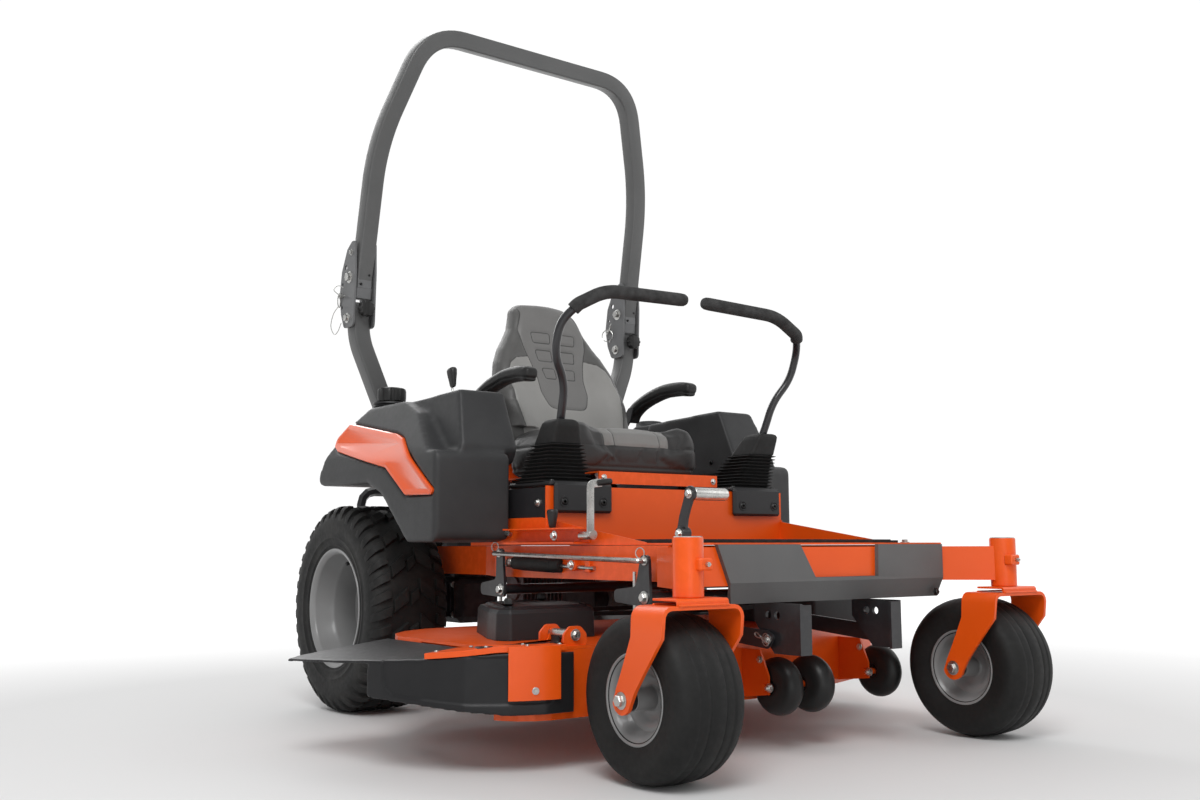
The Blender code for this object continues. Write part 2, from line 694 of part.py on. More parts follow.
def drive_wheel(side):
    centre = (side * REAR_X, 0.0, REAR_TYRE_R)
    profile = tyre_profile(REAR_TYRE_R, REAR_TYRE_W, REAR_RIM_R - 0.008, 0.006)
    tyre = part("drive_tyre_" + name_of(side), lathe(profile, 20, centre), rubber())
    bead = REAR_RIM_R - 0.0083
    outer = [(REAR_RIM_R + 0.004, 0.106), (REAR_RIM_R - 0.006, 0.106), (0.141, 0.096), (0.141, -0.010),
             (0.120, -0.030), (0.060, -0.044), (0.0, -0.044), (0.0, -0.056), (0.062, -0.056),
             (0.124, -0.042), (0.146, -0.022), (0.146, -0.096), (0.150, -0.102), (REAR_RIM_R + 0.002, -0.104),
             (REAR_RIM_R + 0.002, -0.0963), (bead, -0.0950), (bead, 0.0950), (REAR_RIM_R + 0.004, 0.0963)]
    outer.append(outer[0])
    rim = lathe([(reach, side * height) for reach, height in outer], 20, centre)
    hub = rod((centre[0] - side * 0.056, 0, centre[2]), (centre[0] - side * 0.1215, 0, centre[2]), 0.055, 16)
    rim = part("drive_rim_" + name_of(side), combine(rim, [hub]), rim_paint())
    return set_origin(tyre, centre), set_origin(rim, centre)


def caster(side):
    """Swivelling fork with its wheel: smooth ribbed tyre on a dished rim."""
    x = side * CASTER_X
    axle_y = CASTER_Y + CASTER_TRAIL
    centre = (x, axle_y, CASTER_TYRE_R)
    profile = tyre_profile(CASTER_TYRE_R, CASTER_TYRE_W, CASTER_RIM_R - 0.006, 0.022)
    tyre = part("caster_tyre_" + name_of(side), lathe(profile, 16, centre), rubber())
    bead = CASTER_RIM_R - 0.0063
    flange = 0.0712
    section = [(CASTER_RIM_R, flange), (CASTER_RIM_R - 0.010, flange), (0.070, 0.050), (0.058, 0.030),
               (0.024, 0.026), (0.022, 0.078), (0.0102, 0.078)]
    under = [(reach, -height) for reach, height in reversed(section)]
    seat_edge = [(CASTER_RIM_R, -0.0669), (bead, -0.0669), (bead, 0.0669), (CASTER_RIM_R, 0.0669)]
    rim = lathe(section + under + seat_edge + [section[0]], 16, centre)
    rim = part("caster_rim_" + name_of(side), rim, rim_paint())
    top = 0.345
    bridge = box((x - 0.102, CASTER_Y - 0.045, top), (x + 0.102, CASTER_Y + 0.048, top + 0.008))
    channel = box((x - 0.064, CASTER_Y - 0.048, top + 0.006), (x + 0.064, CASTER_Y + 0.030, SWIVEL_Z[0] - GAP),
                  0.002)
    legs = []
    for s in (LEFT, RIGHT):
        outline = [(CASTER_Y - 0.045, top + 0.008), (CASTER_Y + 0.048, top + 0.008), (CASTER_Y + 0.048, top - 0.030),
                   (axle_y + 0.028, CASTER_TYRE_R + 0.012), (axle_y + 0.020, CASTER_TYRE_R - 0.020),
                   (axle_y - 0.020, CASTER_TYRE_R - 0.022), (axle_y - 0.030, CASTER_TYRE_R + 0.010)]
        inner, outer = sorted((x + s * 0.094, x + s * 0.102))
        legs.append(plate(rounded(outline, 0.012, 1), inner, outer, "x"))
    axle = rod((x - 0.116, axle_y, centre[2]), (x + 0.116, axle_y, centre[2]), 0.0099, 16)
    heads = [rod((x + s * 0.102, axle_y, centre[2]), (x + s * 0.112, axle_y, centre[2]), 0.015, 6)
             for s in (LEFT, RIGHT)]
    fork = combine(bridge, [channel] + legs + [axle] + heads)
    fork = part("caster_fork_" + name_of(side), fork, orange())
    set_origin(fork, (x, CASTER_Y, SWIVEL_Z[0]))
    return fork, set_origin(tyre, centre), set_origin(rim, centre)


# ------------------------------------------------------------------ lap bars


def lap_bar(side):
    """Control lever with its S-bend, foam grip and square rubber boot."""
    exit_point = Vector((-0.345, -0.772, 0.771))
    path = [(-0.322, -0.712, 0.640), exit_point, (-0.352, -0.800, 0.850), (-0.400, -0.822, 0.915),
            (-0.400, -0.850, 0.990), (-0.370, -0.880, 1.030), (-0.290, -0.884, 1.072), (-0.0400, -0.878, 1.080)]
    lever = tube(bent(path, 0.035, 3), 0.0105, 2)
    lever = part("lap_bar_" + name_of(side), lever, black_steel(), side)
    set_origin(lever, (side * LEVER_PIVOT[0], LEVER_PIVOT[1], LEVER_PIVOT[2]))
    return lever


def lap_grip(side):
    path = [(-0.370, -0.880, 1.030), (-0.290, -0.884, 1.072), (-0.0335, -0.878, 1.0801)]
    outer = tube(bent([(-0.3775, -0.8725, 1.0190)] + path, 0.035, 3), 0.0165, 3)
    room = tube(bent([(-0.400, -0.850, 0.990), (-0.370, -0.880, 1.030), (-0.290, -0.884, 1.072),
                      (-0.0390, -0.878, 1.080)], 0.035, 3), 0.0128, 2)
    grip = part("lap_grip_" + name_of(side), cut(outer, [room]), rubber(), side)
    return set_origin(grip, (side * LEVER_PIVOT[0], LEVER_PIVOT[1], LEVER_PIVOT[2]))


def lever_boot(side):
    """Square bellows with a tapering cap, leaning towards the front with its lever."""
    rings = [(0.6123, 0.074), (0.625, 0.072), (0.690, 0.056), (0.700, 0.042), (0.745, 0.037), (0.760, 0.028)]
    work = bmesh.new()
    levels = []
    for height, half in rings:
        t = (height - BOOT_BASE_Z) / (0.765 - BOOT_BASE_Z)
        middle = Vector((-0.312 - 0.030 * t, -0.690 - 0.078 * t, height))
        corner = half * 0.35
        ring = []
        for cx, cy in ((1, 1), (-1, 1), (-1, -1), (1, -1)):
            first = (cx * half, cy * (half - corner)) if cx == cy else (cx * (half - corner), cy * half)
            second = (cx * (half - corner), cy * half) if cx == cy else (cx * half, cy * (half - corner))
            ring.append(work.verts.new(middle + Vector((*first, 0.0))))
            ring.append(work.verts.new(middle + Vector((*second, 0.0))))
        levels.append(ring)
    for low, high in zip(levels, levels[1:]):
        for i in range(8):
            j = (i + 1) % 8
            work.faces.new((low[i], low[j], high[j], high[i]))
    work.faces.new(list(reversed(levels[0])))
    work.faces.new(levels[-1])
    bmesh.ops.recalc_face_normals(work, faces=work.faces)
    solid = from_bmesh(work)
    bore = tube([(-0.309, -0.6795, 0.560), (-0.322, -0.712, 0.640), (-0.345, -0.772, 0.771),
                 (-0.352, -0.796, 0.850)], 0.0116, 2)
    return part("lever_boot_" + name_of(side), cut(solid, [bore]), rubber(), side)


# ---------------------------------------------------------------------- deck


def deck_outline(grow=0.0):
    """Plan of the deck: round at the left and rear, straight to the chute at the front right."""
    radius = DECK_RADIUS + grow
    front = DECK_FRONT_Y - grow
    right = DECK_RIGHT_X - grow
    outline = arc((SPINDLE_X, SPINDLE_Y), radius, -62, 90, 8)
    outline += arc((-SPINDLE_X, SPINDLE_Y), radius, 90, 166, 4)
    outline += [(right, -0.735), (right, -1.020)]
    outline += arc((-0.600, -1.013), 0.1055 + grow, 190, 266, 4)
    outline += [(0.020, front), (0.120, front + 0.018)]
    return outline


def deck_shell():
    """Stamped top plate with the three spindle housings, hinge ears and roller brackets."""
    low, high = DECK_Z
    top = plate(deck_outline(), high - DECK_PLATE, high)
    pieces = []
    for x, y in spindle_places():
        pieces.append(rod((x, y, high - 0.003), (x, y, high + 0.0150), 0.066, 12))
        pieces.append(rod((x, y, high + 0.002), (x, y, high + 0.0350), 0.040, 12))
    for y in (CHUTE_HINGE[1] - 0.044, CHUTE_HINGE[1] + 0.044):
        ear = [(-0.572, high - 0.003), (-0.572, high + 0.024), (-0.556, high + 0.040), (-0.530, high + 0.040),
               (-0.514, high + 0.024), (-0.514, high - 0.003)]
        pieces.append(plate(rounded(ear, 0.010, 2), y - 0.003, y + 0.003, "y"))
    for side in (LEFT, RIGHT):
        for y in (-0.520, -0.990):
            x = side * 0.240
            tab = [(y - 0.025, high - 0.003), (y + 0.025, high - 0.003), (y + 0.018, high + 0.045),
                   (y - 0.018, high + 0.045)]
            pieces.append(plate(tab, x - 0.003, x + 0.003, "x"))
    solid = combine(top, pieces)
    shafts = [rod((x, y, 0.200), (x, y, 0.300), 0.0188, 14) for x, y in spindle_places()]
    return part("deck_shell", cut(baked(solid), shafts), orange())


def spindle_places():
    return [(-SPINDLE_X, SPINDLE_Y), (0.0, CENTRE_SPINDLE_Y), (SPINDLE_X, SPINDLE_Y)]


def deck_skirt():
    """Deck side wall, open to the chute, with the roller brackets welded to its front."""
    low, high = DECK_Z
    wall = plate(deck_outline(), low, high - DECK_PLATE - GAP)
    room = plate(deck_outline(-0.005), low - 0.01, high + 0.01)
    mouth = box((-0.800, -1.045, low - 0.01), (-0.680, -0.745, high + 0.01))
    brackets = []
    for x, y, depth in ROLLER_BRACKETS:
        outline = [(y + depth, 0.222), (y + 0.006, 0.222), (y - 0.020, 0.165), (y - 0.020, 0.124),
                   (y + depth, 0.112)]
        brackets.append(plate(outline, x - 0.0025, x + 0.0025, "x"))
    solid = cut(wall, [room, mouth])
    bolts = [rod((x - 0.012, y - 0.012, ROLLER_Z), (x + reach, y - 0.012, ROLLER_Z), 0.0075, 12)
             for (x, y, depth), reach in zip(ROLLER_BRACKETS, (0.1800, 0.0750))]
    return part("deck_skirt", combine(baked(solid), brackets + bolts), orange())


def roller(name, x, y, width):
    """Anti-scalp roller with round shoulders, turning on its bolt."""
    half = width / 2
    profile = [(0.0082, half), (0.020, half), (0.036, half - 0.004), (0.054, half - 0.016),
               (ROLLER_R, half * 0.25), (ROLLER_R, -half * 0.25), (0.054, -half + 0.016),
               (0.036, -half + 0.004), (0.020, -half), (0.0082, -half), (0.0082, half)]
    centre = (x, y, ROLLER_Z)
    return set_origin(part(name, lathe(profile, 16, centre), black_plastic()), centre)


def rollers():
    first_x, first_y, _ = ROLLER_BRACKETS[0]
    second_x, second_y, _ = ROLLER_BRACKETS[1]
    return [roller("roller_centre_right", first_x + 0.0375, first_y - 0.012, 0.062),
            roller("roller_centre_left", first_x + 0.1390, first_y - 0.012, 0.062),
            roller("roller_left", second_x + 0.0480, second_y - 0.012, 0.056)]


def belt_cover():
    """Moulded cover over the right-hand spindle pulley."""
    outline = [(-0.590, -0.830), (-0.608, -0.900), (-0.590, -0.934), (-0.360, -0.934), (-0.300, -0.850),
               (-0.300, -0.620), (-0.500, -0.620)]
    low = DECK_Z[1] + GAP
    outer = plate(rounded(outline, 0.020, 2), low, 0.318)
    middle = Vector((-0.455, -0.770))
    inner = [tuple(middle + (Vector(point) - middle) * 0.97) for point in rounded(outline, 0.020, 2)]
    room = plate(inner, low - 0.01, 0.314)
    doorway = box((-0.320, -0.850, low - 0.01), (-0.280, -0.650, 0.300))
    return part("belt_cover_right", cut(outer, [room, doorway]), black_plastic())


def spindle(name, x, y):
    """Blade on its shaft, with the pulley above the housing."""
    half = BLADE_LENGTH / 2
    outline = [(-half, -0.030), (-half + 0.010, -0.031), (half, -0.031), (half, 0.024), (half - 0.010, 0.031),
               (-half, 0.031)]
    low = BLADE_Z
    blade = plate([(x + px, y + py) for px, py in outline], low, low + 0.006)
    shaft = rod((x, y, low - 0.018), (x, y, 0.309), 0.0180, 14)
    sleeve = rod((x, y, low + 0.004), (x, y, DECK_Z[1] - DECK_PLATE - 0.004), 0.030, 12)
    profile = [(0.0, 0.3060), (0.062, 0.3060), (0.062, 0.3030), (0.050, 0.2980), (0.062, 0.2930),
               (0.062, 0.2900), (0.0, 0.2900)]
    pulley = lathe(profile, 12, (x, y, 0.0), "z")
    nut = rod((x, y, low - 0.014), (x, y, low + 0.002), 0.024, 6)
    solid = part(name, combine(blade, [shaft, sleeve, pulley, nut]), black_steel())
    return set_origin(solid, (x, y, low))


def strip(path, width):
    """Closed outline of a wall that follows an open path, on its left-hand side."""
    points = [Vector(point) for point in path]
    inner = []
    for i, point in enumerate(points):
        before = (point - points[i - 1]).normalized() if i else None
        after = (points[i + 1] - point).normalized() if i + 1 < len(points) else None
        along = ((before or after) + (after or before)).normalized()
        inner.append(tuple(point + Vector((-along.y, along.x)) * width))
    return list(path) + inner[::-1]


def chute():
    """Moulded discharge chute: a sloping hood, curved down at its front and outer side."""
    high = DECK_Z[1] - 0.006
    front = [(-0.968, -0.620), (-0.925, -0.780), (-0.878, -0.905), (-0.838, -0.990), (-0.780, -1.062),
             (-0.700, -1.112), (-0.630, -1.136), (-0.562, -1.136)]
    hood = front[:-1] + [(-0.630, -1.080), (-0.700, -1.000), (-0.716, -0.950), (-0.716, -0.600), (-0.930, -0.600)]
    top = plate(hood, high - 0.005, high)
    wall = plate(strip(front, 0.0045), 0.118, high - 0.001)
    top = cut(baked(combine(top, [wall])), [plate(deck_outline(0.0080), 0.080, high + 0.020)])

    def slope(co):
        out = max(0.0, -0.724 - co.x)
        rise = 0.30 * out if co.z < 0.150 else 0.0
        return Vector((co.x, co.y, co.z - 0.13 * out + rise))

    hood = reshape(baked(top), slope)
    x, y, z = CHUTE_HINGE
    arm_low = DECK_Z[1] + GAP
    arm = box((-0.745, y, arm_low), (x - 0.001, y + 0.030, arm_low + 0.004))
    drop = box((-0.745, y, high - 0.006), (-0.738, y + 0.030, arm_low + 0.004))
    knuckle = rod((x, y - 0.0405, z), (x, y + 0.0405, z), 0.009, 12)
    root = box((x - 0.010, y, arm_low), (x - 0.0005, y + 0.030, z))
    return set_origin(part("discharge_chute", combine(hood, [arm, drop, knuckle, root]), black_plastic()),
                      CHUTE_HINGE)


# ---------------------------------------------------------------- deck lift


def crank_shaft(name, y, z, plate_outline, width):
    """Cross shaft with a crank plate at each end, which lifts one end of the deck."""
    shaft = rod((-width, y, z), (width, y, z), 0.0125, 16)
    plates = []
    for side in (LEFT, RIGHT):
        inner, outer = sorted((side * (width - 0.003), side * (width + 0.004)))
        plates.append(plate(rounded([(y + a, z + b) for a, b in plate_outline], 0.010, 2), inner, outer, "x"))
    solid = part(name, combine(shaft, plates), black_steel())
    return set_origin(solid, (0.0, y, z))


def lift_rod():
    """Chrome link between the top pins of the two right-hand cranks."""
    y_front, z_front = FRONT_CRANK[0] - 0.001, FRONT_CRANK[1] + 0.076
    y_rear, z_rear = REAR_CRANK[0] + 0.008, REAR_CRANK[1] + 0.088
    x = -0.446
    path = bent([(x + 0.010, y_front, z_front), (x, y_front, z_front), (x, y_rear, z_rear),
                 (x + 0.010, y_rear, z_rear)], 0.010, 3)
    return part("lift_rod", tube(path, 0.0055, 2), zinc())


def lift_pedal():
    """Foot pedal: a curved arm from the shaft below the floor, with a roller pad."""
    y, z = PEDAL_PIVOT
    x = -0.378
    arm = [(y - 0.012, z - 0.004), (y + 0.012, z - 0.004), (y + 0.004, z + 0.050), (y - 0.014, z + 0.090),
           (y - 0.036, z + 0.086), (y - 0.018, z + 0.046)]
    lever = plate(rounded(arm, 0.010, 2), x - 0.005, x + 0.005, "x")
    pad = rod((x - 0.008, y - 0.025, z + 0.082), (x + 0.098, y - 0.025, z + 0.082), 0.013, 16)
    boss = rod((x - 0.010, y, z), (x + 0.014, y, z), 0.014, 16)
    solid = part("lift_pedal", combine(lever, [pad, boss]), black_steel())
    return set_origin(solid, (x, y, z))


def height_lever():
    """Bent flat lever that picks the cutting height, with its short grip."""
    y, z = HEIGHT_PIVOT
    x = -0.432
    bar = [(y - 0.010, z - 0.008), (y + 0.004, z - 0.008), (y + 0.004, z + 0.118), (y - 0.010, z + 0.118)]
    flat = plate(rounded(bar, 0.004, 2), x - 0.004, x + 0.004, "x")
    grip = rod((x - 0.002, y - 0.003, z + 0.112), (x + 0.055, y - 0.003, z + 0.112), 0.006, 12)
    boss = rod((x - 0.012, y - 0.003, z), (x + 0.012, y - 0.003, z), 0.012, 16)
    solid = part("height_lever", combine(flat, [grip, boss]), zinc())
    return set_origin(solid, (x, y - 0.003, z))


def throttle_lever():
    """Throttle: a thin stalk with a drop-shaped knob, on top of the right console."""
    foot = Vector(THROTTLE)
    top = foot + Vector((-0.010, 0.030, 0.055))
    stalk = rod(foot, top, 0.004, 10)
    knob = rod(foot + Vector((-0.007, 0.021, 0.038)), top + Vector((-0.003, 0.009, 0.016)), 0.007, 12, 0.013)
    solid = part("throttle_lever", combine(stalk, [knob]), black_plastic())
    return set_origin(solid, tuple(foot))


def build():
    for side in (RIGHT, LEFT):
        frame_rail(side)
        fender(side)
        transaxle(side)
        rops_post(side)
        boot_plate(side)
        deck_hanger(side)
        armrest(side)
        drive_wheel(side)
        caster(side)
        lap_bar(side)
        lap_grip(side)
        lever_boot(side)
    front_beam()
    front_cover()
    foot_platform()
    foot_mat()
    rear_frame()
    engine()
    muffler()
    lift_channel()
    fuel_cap()
    seat()
    rops_hoop()
    deck_shell()
    deck_skirt()
    belt_cover()
    for (x, y), name in zip(spindle_places(), ("blade_right", "blade_centre", "blade_left")):
        spindle(name, x, y)
    chute()
    rollers()
    crank_shaft("front_crank", *FRONT_CRANK, [(-0.018, -0.018), (0.018, -0.018), (0.105, -0.012),
                                               (0.105, 0.014), (0.030, 0.022), (0.012, 0.088), (-0.014, 0.088)],
                0.424)
    crank_shaft("rear_crank", *REAR_CRANK, [(-0.018, -0.018), (0.018, -0.018), (0.095, -0.014),
                                             (0.095, 0.014), (0.024, 0.024), (0.020, 0.100), (-0.006, 0.100)],
                0.424)
    lift_rod()
    lift_pedal()
    height_lever()
    throttle_lever()


build()
clean_up()
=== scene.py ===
"""Looks of the zero turn mower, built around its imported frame.

Every piece is made in the machine's own coordinates, which start on the ground under the rear
axle: +X is the operator's left, +Y the rear, +Z up. add() then puts it in the frame's place.
"""
import json
from math import cos, pi, radians, sin, sqrt, tau

import bmesh
import bpy
import numpy as np
from mathutils import Matrix, Vector
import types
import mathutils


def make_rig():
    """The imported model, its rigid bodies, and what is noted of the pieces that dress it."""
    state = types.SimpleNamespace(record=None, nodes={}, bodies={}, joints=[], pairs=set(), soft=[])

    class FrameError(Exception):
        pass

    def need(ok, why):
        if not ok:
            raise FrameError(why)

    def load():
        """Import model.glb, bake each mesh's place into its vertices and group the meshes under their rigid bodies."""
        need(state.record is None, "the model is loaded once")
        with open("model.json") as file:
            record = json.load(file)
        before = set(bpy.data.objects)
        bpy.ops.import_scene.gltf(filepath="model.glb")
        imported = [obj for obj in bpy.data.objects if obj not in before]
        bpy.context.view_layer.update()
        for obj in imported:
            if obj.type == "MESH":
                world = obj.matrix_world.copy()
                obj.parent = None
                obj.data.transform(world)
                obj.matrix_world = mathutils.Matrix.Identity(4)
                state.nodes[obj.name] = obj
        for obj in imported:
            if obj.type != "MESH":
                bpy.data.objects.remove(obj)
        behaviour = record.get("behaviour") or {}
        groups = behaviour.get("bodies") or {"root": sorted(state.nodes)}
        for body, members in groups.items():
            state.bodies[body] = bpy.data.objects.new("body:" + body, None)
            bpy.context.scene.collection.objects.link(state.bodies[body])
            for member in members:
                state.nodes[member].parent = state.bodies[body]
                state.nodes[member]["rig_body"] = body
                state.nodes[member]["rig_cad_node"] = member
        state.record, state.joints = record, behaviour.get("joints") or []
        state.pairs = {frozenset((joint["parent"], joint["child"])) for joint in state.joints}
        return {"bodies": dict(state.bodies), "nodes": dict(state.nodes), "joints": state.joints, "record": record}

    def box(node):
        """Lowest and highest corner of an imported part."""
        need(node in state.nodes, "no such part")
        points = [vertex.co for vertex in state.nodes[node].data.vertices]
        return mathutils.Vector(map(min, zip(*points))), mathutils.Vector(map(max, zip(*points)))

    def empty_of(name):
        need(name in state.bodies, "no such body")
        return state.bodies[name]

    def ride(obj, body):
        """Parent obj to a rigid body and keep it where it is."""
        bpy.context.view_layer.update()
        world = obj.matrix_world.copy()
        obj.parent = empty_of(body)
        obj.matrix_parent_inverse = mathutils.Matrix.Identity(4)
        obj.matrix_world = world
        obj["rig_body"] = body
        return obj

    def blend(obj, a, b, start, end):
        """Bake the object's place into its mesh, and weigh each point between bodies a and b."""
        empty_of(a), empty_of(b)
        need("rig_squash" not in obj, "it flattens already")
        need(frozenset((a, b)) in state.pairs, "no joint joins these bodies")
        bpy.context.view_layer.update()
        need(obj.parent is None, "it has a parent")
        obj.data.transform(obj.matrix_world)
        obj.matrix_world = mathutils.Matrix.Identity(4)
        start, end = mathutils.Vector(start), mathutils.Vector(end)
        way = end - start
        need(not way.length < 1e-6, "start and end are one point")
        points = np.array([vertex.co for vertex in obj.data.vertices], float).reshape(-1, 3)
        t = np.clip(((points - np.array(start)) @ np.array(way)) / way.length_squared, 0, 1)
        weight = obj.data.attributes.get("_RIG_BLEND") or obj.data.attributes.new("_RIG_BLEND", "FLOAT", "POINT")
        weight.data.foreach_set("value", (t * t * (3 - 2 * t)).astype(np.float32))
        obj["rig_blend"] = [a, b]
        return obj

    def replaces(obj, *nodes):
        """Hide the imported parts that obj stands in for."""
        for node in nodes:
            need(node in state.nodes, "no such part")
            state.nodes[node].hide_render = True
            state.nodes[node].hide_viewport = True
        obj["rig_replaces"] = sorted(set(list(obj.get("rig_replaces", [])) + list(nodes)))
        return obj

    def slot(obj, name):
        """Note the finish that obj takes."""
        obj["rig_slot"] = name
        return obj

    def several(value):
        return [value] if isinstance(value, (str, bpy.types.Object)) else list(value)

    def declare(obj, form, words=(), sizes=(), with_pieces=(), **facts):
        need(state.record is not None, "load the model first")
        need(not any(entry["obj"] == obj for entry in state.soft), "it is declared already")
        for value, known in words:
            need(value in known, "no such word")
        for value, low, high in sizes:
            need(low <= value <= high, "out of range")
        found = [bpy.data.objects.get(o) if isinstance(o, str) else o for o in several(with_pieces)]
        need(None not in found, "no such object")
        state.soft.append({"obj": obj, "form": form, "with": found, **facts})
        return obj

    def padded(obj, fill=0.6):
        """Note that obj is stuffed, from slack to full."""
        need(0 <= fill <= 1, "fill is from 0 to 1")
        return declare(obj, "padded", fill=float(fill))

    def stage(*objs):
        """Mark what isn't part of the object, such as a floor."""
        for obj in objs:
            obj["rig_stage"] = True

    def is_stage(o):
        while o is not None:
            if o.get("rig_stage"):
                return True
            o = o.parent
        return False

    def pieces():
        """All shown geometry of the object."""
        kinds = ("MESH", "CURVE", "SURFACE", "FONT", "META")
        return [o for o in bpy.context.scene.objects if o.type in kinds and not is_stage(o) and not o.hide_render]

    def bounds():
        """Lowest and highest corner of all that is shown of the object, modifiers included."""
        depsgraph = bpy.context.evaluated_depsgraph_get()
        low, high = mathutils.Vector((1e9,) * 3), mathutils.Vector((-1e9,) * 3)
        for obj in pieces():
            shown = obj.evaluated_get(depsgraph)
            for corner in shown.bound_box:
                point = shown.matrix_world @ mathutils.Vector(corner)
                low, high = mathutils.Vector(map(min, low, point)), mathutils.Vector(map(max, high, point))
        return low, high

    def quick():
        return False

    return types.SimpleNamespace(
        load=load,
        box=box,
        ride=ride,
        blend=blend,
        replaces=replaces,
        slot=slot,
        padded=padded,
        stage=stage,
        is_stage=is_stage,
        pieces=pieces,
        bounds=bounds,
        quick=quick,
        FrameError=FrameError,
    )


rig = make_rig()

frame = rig.load()
CAD_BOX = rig.bounds()
NODES = frame["nodes"]

LEFT = 1
RIGHT = -1
SIDES = (RIGHT, LEFT)
SIDE_NAME = {LEFT: "left", RIGHT: "right"}

tyre_low, tyre_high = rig.box("drive_tyre_right")
far_tyre_low, far_tyre_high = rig.box("drive_tyre_left")
ORIGIN = Vector(((tyre_low.x + far_tyre_high.x) / 2, (tyre_low.y + tyre_high.y) / 2, 0.0))
REAR_R = (tyre_high.z - tyre_low.z) / 2
REAR_X = (far_tyre_low.x + far_tyre_high.x) / 2 - ORIGIN.x
caster_low, caster_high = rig.box("caster_tyre_left")
CASTER_R = (caster_high.z - caster_low.z) / 2
CASTER_X = (caster_low.x + caster_high.x) / 2 - ORIGIN.x
CASTER_AXLE_Y = (caster_low.y + caster_high.y) / 2 - ORIGIN.y
CASTER_SWIVEL_Y = -1.419


def joint_place(name):
    """Where a joint's axis passes, in the machine's coordinates."""
    for joint in frame["joints"]:
        if joint["name"] == name:
            return Vector(joint["pos_m"]) - ORIGIN
    raise KeyError(name)


# ---------------------------------------------------------------- materials


class Nodes:
    """A short way to wire one material's nodes."""

    def __init__(self, name):
        self.material = bpy.data.materials.new(name)
        self.material.use_nodes = True
        self.tree = self.material.node_tree
        self.shader = self.tree.nodes["Principled BSDF"]
        self.place = self.make("ShaderNodeTexCoord").outputs["Object"]

    def make(self, kind, **values):
        node = self.tree.nodes.new(kind)
        for key, value in values.items():
            if key in node.inputs:
                node.inputs[key].default_value = value
            else:
                setattr(node, key, value)
        return node

    def link(self, output, target):
        self.tree.links.new(output, target)

    def noise(self, scale, detail=3.0, roughness=0.5, place=None):
        node = self.make("ShaderNodeTexNoise", Scale=scale, Detail=detail, Roughness=roughness)
        self.link(place or self.place, node.inputs["Vector"])
        return node.outputs["Fac"]

    def cells(self, scale, feature="F1"):
        node = self.make("ShaderNodeTexVoronoi", feature=feature, Scale=scale)
        self.link(self.place, node.inputs["Vector"])
        return node.outputs["Distance"]

    def ramp(self, value, low, high, start=0.0, end=1.0):
        node = self.make("ShaderNodeMapRange")
        node.inputs["From Min"].default_value = start
        node.inputs["From Max"].default_value = end
        node.inputs["To Min"].default_value = low
        node.inputs["To Max"].default_value = high
        self.link(value, node.inputs["Value"])
        return node.outputs["Result"]

    def mix(self, value, first, second):
        node = self.make("ShaderNodeMix", data_type="RGBA")
        self.link(value, node.inputs["Factor"])
        for socket, colour in ((node.inputs[6], first), (node.inputs[7], second)):
            if isinstance(colour, tuple):
                socket.default_value = (*colour, 1.0)
            else:
                self.link(colour, socket)
        return node.outputs[2]

    def edges(self, low=0.52, high=0.6):
        """1 on worn outside edges, 0 elsewhere."""
        geometry = self.make("ShaderNodeNewGeometry")
        return self.ramp(geometry.outputs["Pointiness"], 0.0, 1.0, low, high)

    def bump(self, heights):
        """heights are (value, strength, distance in metres), from coarse to fine."""
        normal = None
        for value, strength, distance in heights:
            node = self.make("ShaderNodeBump", Strength=strength, Distance=distance)
            self.link(value, node.inputs["Height"])
            if normal:
                self.link(normal, node.inputs["Normal"])
            normal = node.outputs["Normal"]
        self.link(normal, self.shader.inputs["Normal"])

    def set(self, **values):
        for key, value in values.items():
            self.shader.inputs[key.replace("_", " ")].default_value = value


def painted(name, colour, shade, rough=0.32, coat=0.5):
    """Sprayed paint: a faint orange-peel surface, slow colour drift and dulled edges."""
    m = Nodes(name)
    drift = m.ramp(m.noise(4.0), 0.0, 1.0, 0.35, 0.65)
    base = m.mix(drift, colour, shade)
    worn = m.make("ShaderNodeMath", operation="MULTIPLY")
    m.link(m.edges(), worn.inputs[0])
    m.link(m.ramp(m.noise(60.0), 0.0, 0.35, 0.45, 0.7), worn.inputs[1])
    light = tuple(min(1.0, c * 1.25 + 0.02) for c in colour)
    m.link(m.mix(worn.outputs[0], base, light), m.shader.inputs["Base Color"])
    m.link(m.ramp(m.noise(25.0), rough - 0.05, rough + 0.08), m.shader.inputs["Roughness"])
    m.bump([(m.noise(420.0, 2.0), 0.06, 0.0006)])
    m.set(Coat_Weight=coat, Coat_Roughness=0.16, Specular_IOR_Level=0.3)
    return m.material


def moulded(name, colour, rough=0.5, grain=0.22, scale=900.0):
    """Injection-moulded plastic with a fine leathery grain and slightly scuffed edges."""
    m = Nodes(name)
    tone = m.ramp(m.noise(9.0, 4.0), 0.0, 1.0, 0.3, 0.7)
    lighter = tuple(c * 1.22 + 0.004 for c in colour)
    base = m.mix(tone, colour, lighter)
    scuffed = tuple(c * 1.6 + 0.02 for c in colour)
    m.link(m.mix(m.ramp(m.edges(), 0.0, 0.5), base, scuffed), m.shader.inputs["Base Color"])
    m.link(m.ramp(m.noise(70.0), rough - 0.06, rough + 0.08), m.shader.inputs["Roughness"])
    m.bump([(m.noise(14.0), 0.05, 0.004), (m.cells(scale), grain, 0.0005)])
    m.set(Specular_IOR_Level=0.32)
    return m.material


